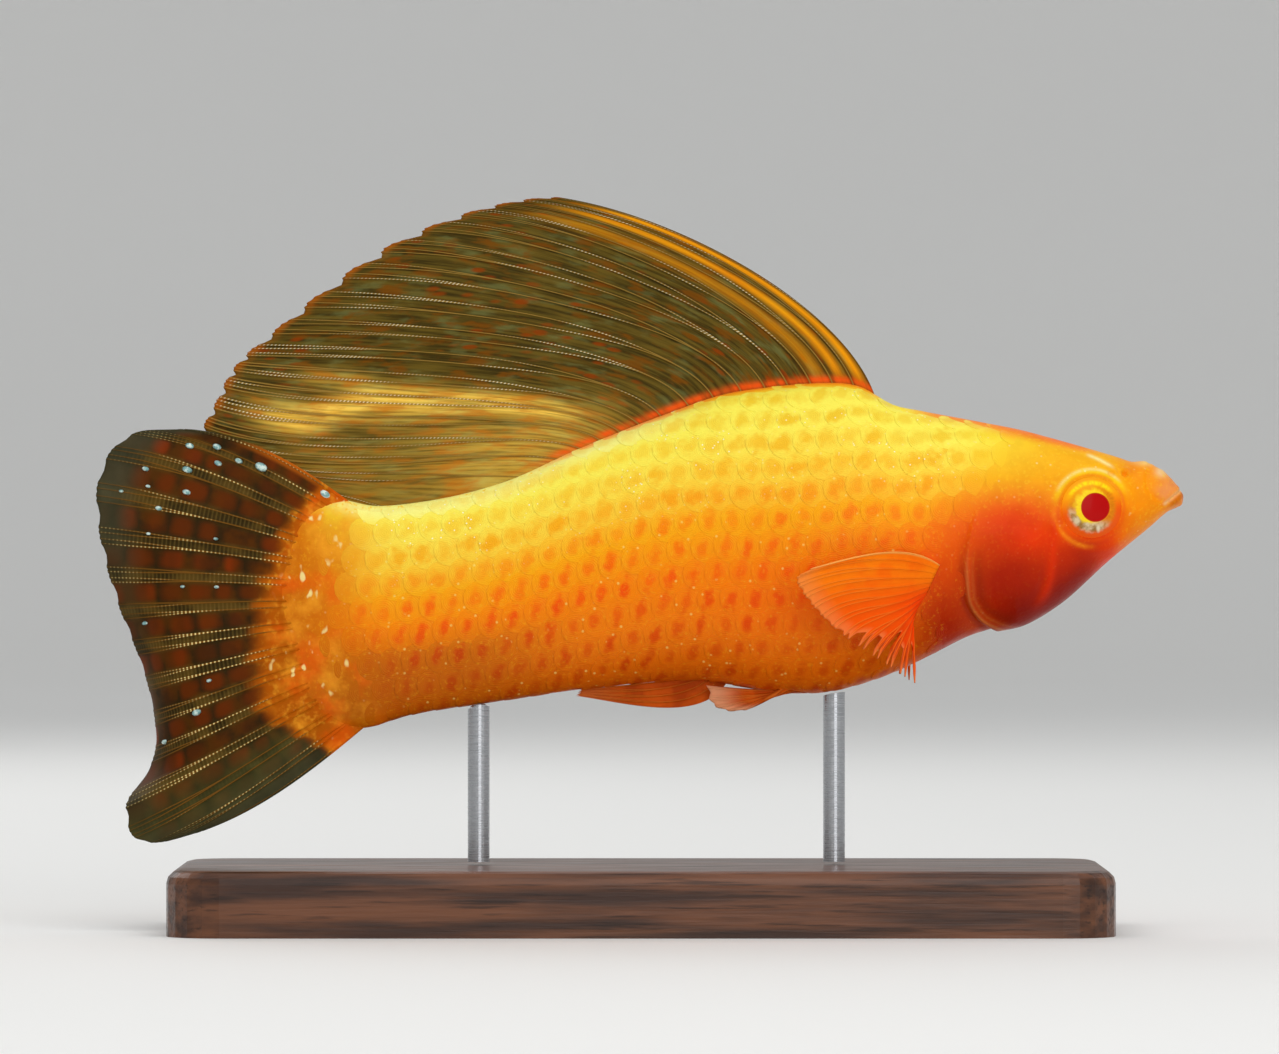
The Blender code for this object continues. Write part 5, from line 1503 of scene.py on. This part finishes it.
class MakeLargeFins(bpy.types.Operator):
    """Makes the sail and the tail fin, with its glints."""

    bl_idname = "molly.make_large_fins"
    bl_label = "Make sail and tail fin"

    def execute(self, context):
        make_sail(context.scene.molly_fins)
        make_tail_fin(context.scene.molly_fins)
        return {"FINISHED"}


class MakeSmallFins(bpy.types.Operator):
    """Makes the paired fins and the rod of the anal fin."""

    bl_idname = "molly.make_small_fins"
    bl_label = "Make small fins"

    def execute(self, context):
        side_finish = side_fin_finish(context.scene.molly_fins)
        belly_finish = belly_fin_finish("belly_fin_membrane", linear(226, 160, 118))
        rod_finish = belly_fin_finish("rod_fin_membrane", linear(196, 96, 40))
        frayed = lambda u, ray, off: (0.2 * (1 - bell(off, 0.2)) + (2.9 + 0.6 * np.sin(41 * u))
                                      * ease(u, 0.5, 0.3) * ease(off, 0.1, 0.12))
        plain = lambda u, ray, off: 0.3 * (2 * ray)
        for word, side in (("right", -1), ("left", 1)):
            make_fin("side_fin_" + word, pectoral_surface(side), PECTORAL_RAYS, SMALL_FORKS,
                     *PECTORAL_GRID, thin(0.45), 0.06, frayed, "orange_fin",
                     ["pectoral_fin_" + word], side_finish, PECTORAL_FRAYED_FROM)
            make_fin("belly_fin_" + word, pelvic_surface(side), PELVIC_RAYS, SMALL_FORKS,
                     *PELVIC_GRID, thin(0.3), 0.09, plain, "orange_fin", ["pelvic_fin_" + word], belly_finish)
        make_fin("anal_rod_fin", rod_fin_surface, ROD_FIN_RAYS, (), *ROD_FIN_GRID,
                 lambda u, v: 0.3 - 0.16 * v, 0.08, plain, "orange_fin", ["gonopodium"], rod_finish)
        return {"FINISHED"}


class FinishStand(bpy.types.Operator):
    """Gives the base and the rods their wood and steel."""

    bl_idname = "molly.finish_stand"
    bl_label = "Finish stand"

    def execute(self, context):
        wood, steel = wood_finish(), steel_finish()
        for name, material in (("stand_base", wood), ("stand_rod_front", steel), ("stand_rod_rear", steel)):
            item = bpy.data.objects[name]
            item.data.materials.clear()
            item.data.materials.append(material)
        return {"FINISHED"}


def make_floor():
    """Round floor whose edge curves up into a low wall: a profile of radius and height, turned."""
    bend = np.linspace(0, math.pi / 2, 24)
    radius = np.concatenate([FLOOR_RINGS, FLOOR_RADIUS + FLOOR_BEND * np.sin(bend),
                             [FLOOR_RADIUS + FLOOR_BEND]])
    height = np.concatenate([[0, 0, 0], FLOOR_BEND - FLOOR_BEND * np.cos(bend), [FLOOR_WALL]])
    turn = np.linspace(0, 2 * math.pi, FLOOR_ROUND, endpoint=False)
    points = np.stack([radius[:, None] * np.cos(turn), radius[:, None] * np.sin(turn),
                       np.broadcast_to(height[:, None], (len(radius), FLOOR_ROUND))], -1).reshape(-1, 3)
    points = np.concatenate([points, [[0, 0, 0]]])
    mesh = bpy.data.meshes.new("floor")
    faces = grid_faces(len(radius), FLOOR_ROUND, True)[:, ::-1].tolist()
    faces += cap_faces(FLOOR_ROUND, 0, len(points) - 1).tolist()
    mesh.from_pydata(points.tolist(), [], faces)
    mesh.shade_smooth()
    mesh.materials.append(floor_finish())
    item = bpy.data.objects.new("floor", mesh)
    bpy.context.collection.objects.link(item)
    return item


def add_lamp(name, where, size, power):
    """Square area lamp that points at the fish and isn't seen itself."""
    lamp = bpy.data.lights.new(name, "AREA")
    lamp.size = size
    lamp.energy = power
    item = bpy.data.objects.new(name, lamp)
    bpy.context.collection.objects.link(item)
    item.location = where
    item.visible_camera = False
    aim = np.array(LAMP_AIM) - np.array(where)
    item.rotation_euler = Vector(aim).to_track_quat("-Z", "Y").to_euler()
    return item


class MakeStage(bpy.types.Operator):
    """Makes the floor, the soft lights and the camera."""

    bl_idname = "molly.make_stage"
    bl_label = "Make stage"

    def execute(self, context):
        make_floor()
        for lamp in LAMPS:
            add_lamp(*lamp)
        world = bpy.data.worlds.new("studio")
        world.use_nodes = True
        sky = world.node_tree.nodes["Background"].inputs
        sky["Color"].default_value = SKY_COLOUR
        sky["Strength"].default_value = SKY_STRENGTH
        scene = context.scene
        scene.world = world
        scene.view_settings.view_transform = "Standard"
        camera = bpy.data.cameras.new("camera")
        camera.sensor_width = SENSOR
        camera.lens = SENSOR * scene.molly_sizes.camera_distance / (PICTURE_WIDTH * PIXEL * MM)
        camera.clip_start, camera.clip_end = 0.05, 10
        item = bpy.data.objects.new("camera", camera)
        bpy.context.collection.objects.link(item)
        item.location = (VIEW_MIDDLE[0] * MM, -scene.molly_sizes.camera_distance, VIEW_MIDDLE[1] * MM)
        item.rotation_euler = (math.pi / 2, 0, 0)
        scene.camera = item
        return {"FINISHED"}


class MollyPanel(bpy.types.Panel):
    """Lists the operators and what can be changed."""

    bl_idname = "VIEW3D_PT_molly"
    bl_label = "Sailfin molly"
    bl_space_type = "VIEW_3D"
    bl_region_type = "UI"
    bl_category = "Molly"

    def draw(self, context):
        for group in (context.scene.molly_body, context.scene.molly_fins, context.scene.molly_sizes):
            for name in group.__annotations__:
                self.layout.prop(group, name)
        for operator in OPERATORS:
            self.layout.operator(operator.bl_idname)


OPERATORS = (MakeSkin, MakeScales, MakeEyes, MakeLargeFins, MakeSmallFins, FinishStand, MakeStage)
CLASSES = (BodyColours, FinColours, MollySizes, *OPERATORS, MollyPanel)


def register():
    for item in CLASSES:
        bpy.utils.register_class(item)
    bpy.types.Scene.molly_body = bpy.props.PointerProperty(type=BodyColours)
    bpy.types.Scene.molly_fins = bpy.props.PointerProperty(type=FinColours)
    bpy.types.Scene.molly_sizes = bpy.props.PointerProperty(type=MollySizes)


def unregister():
    del bpy.types.Scene.molly_body, bpy.types.Scene.molly_fins, bpy.types.Scene.molly_sizes
    for item in reversed(CLASSES):
        bpy.utils.unregister_class(item)


def main():
    """Registers the add-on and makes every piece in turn."""
    register()
    bpy.ops.molly.make_skin()
    bpy.ops.molly.make_scales()
    bpy.ops.molly.make_eyes()
    bpy.ops.molly.make_large_fins()
    bpy.ops.molly.make_small_fins()
    bpy.ops.molly.finish_stand()
    bpy.ops.molly.make_stage()


if __name__ == "__main__":
    main()
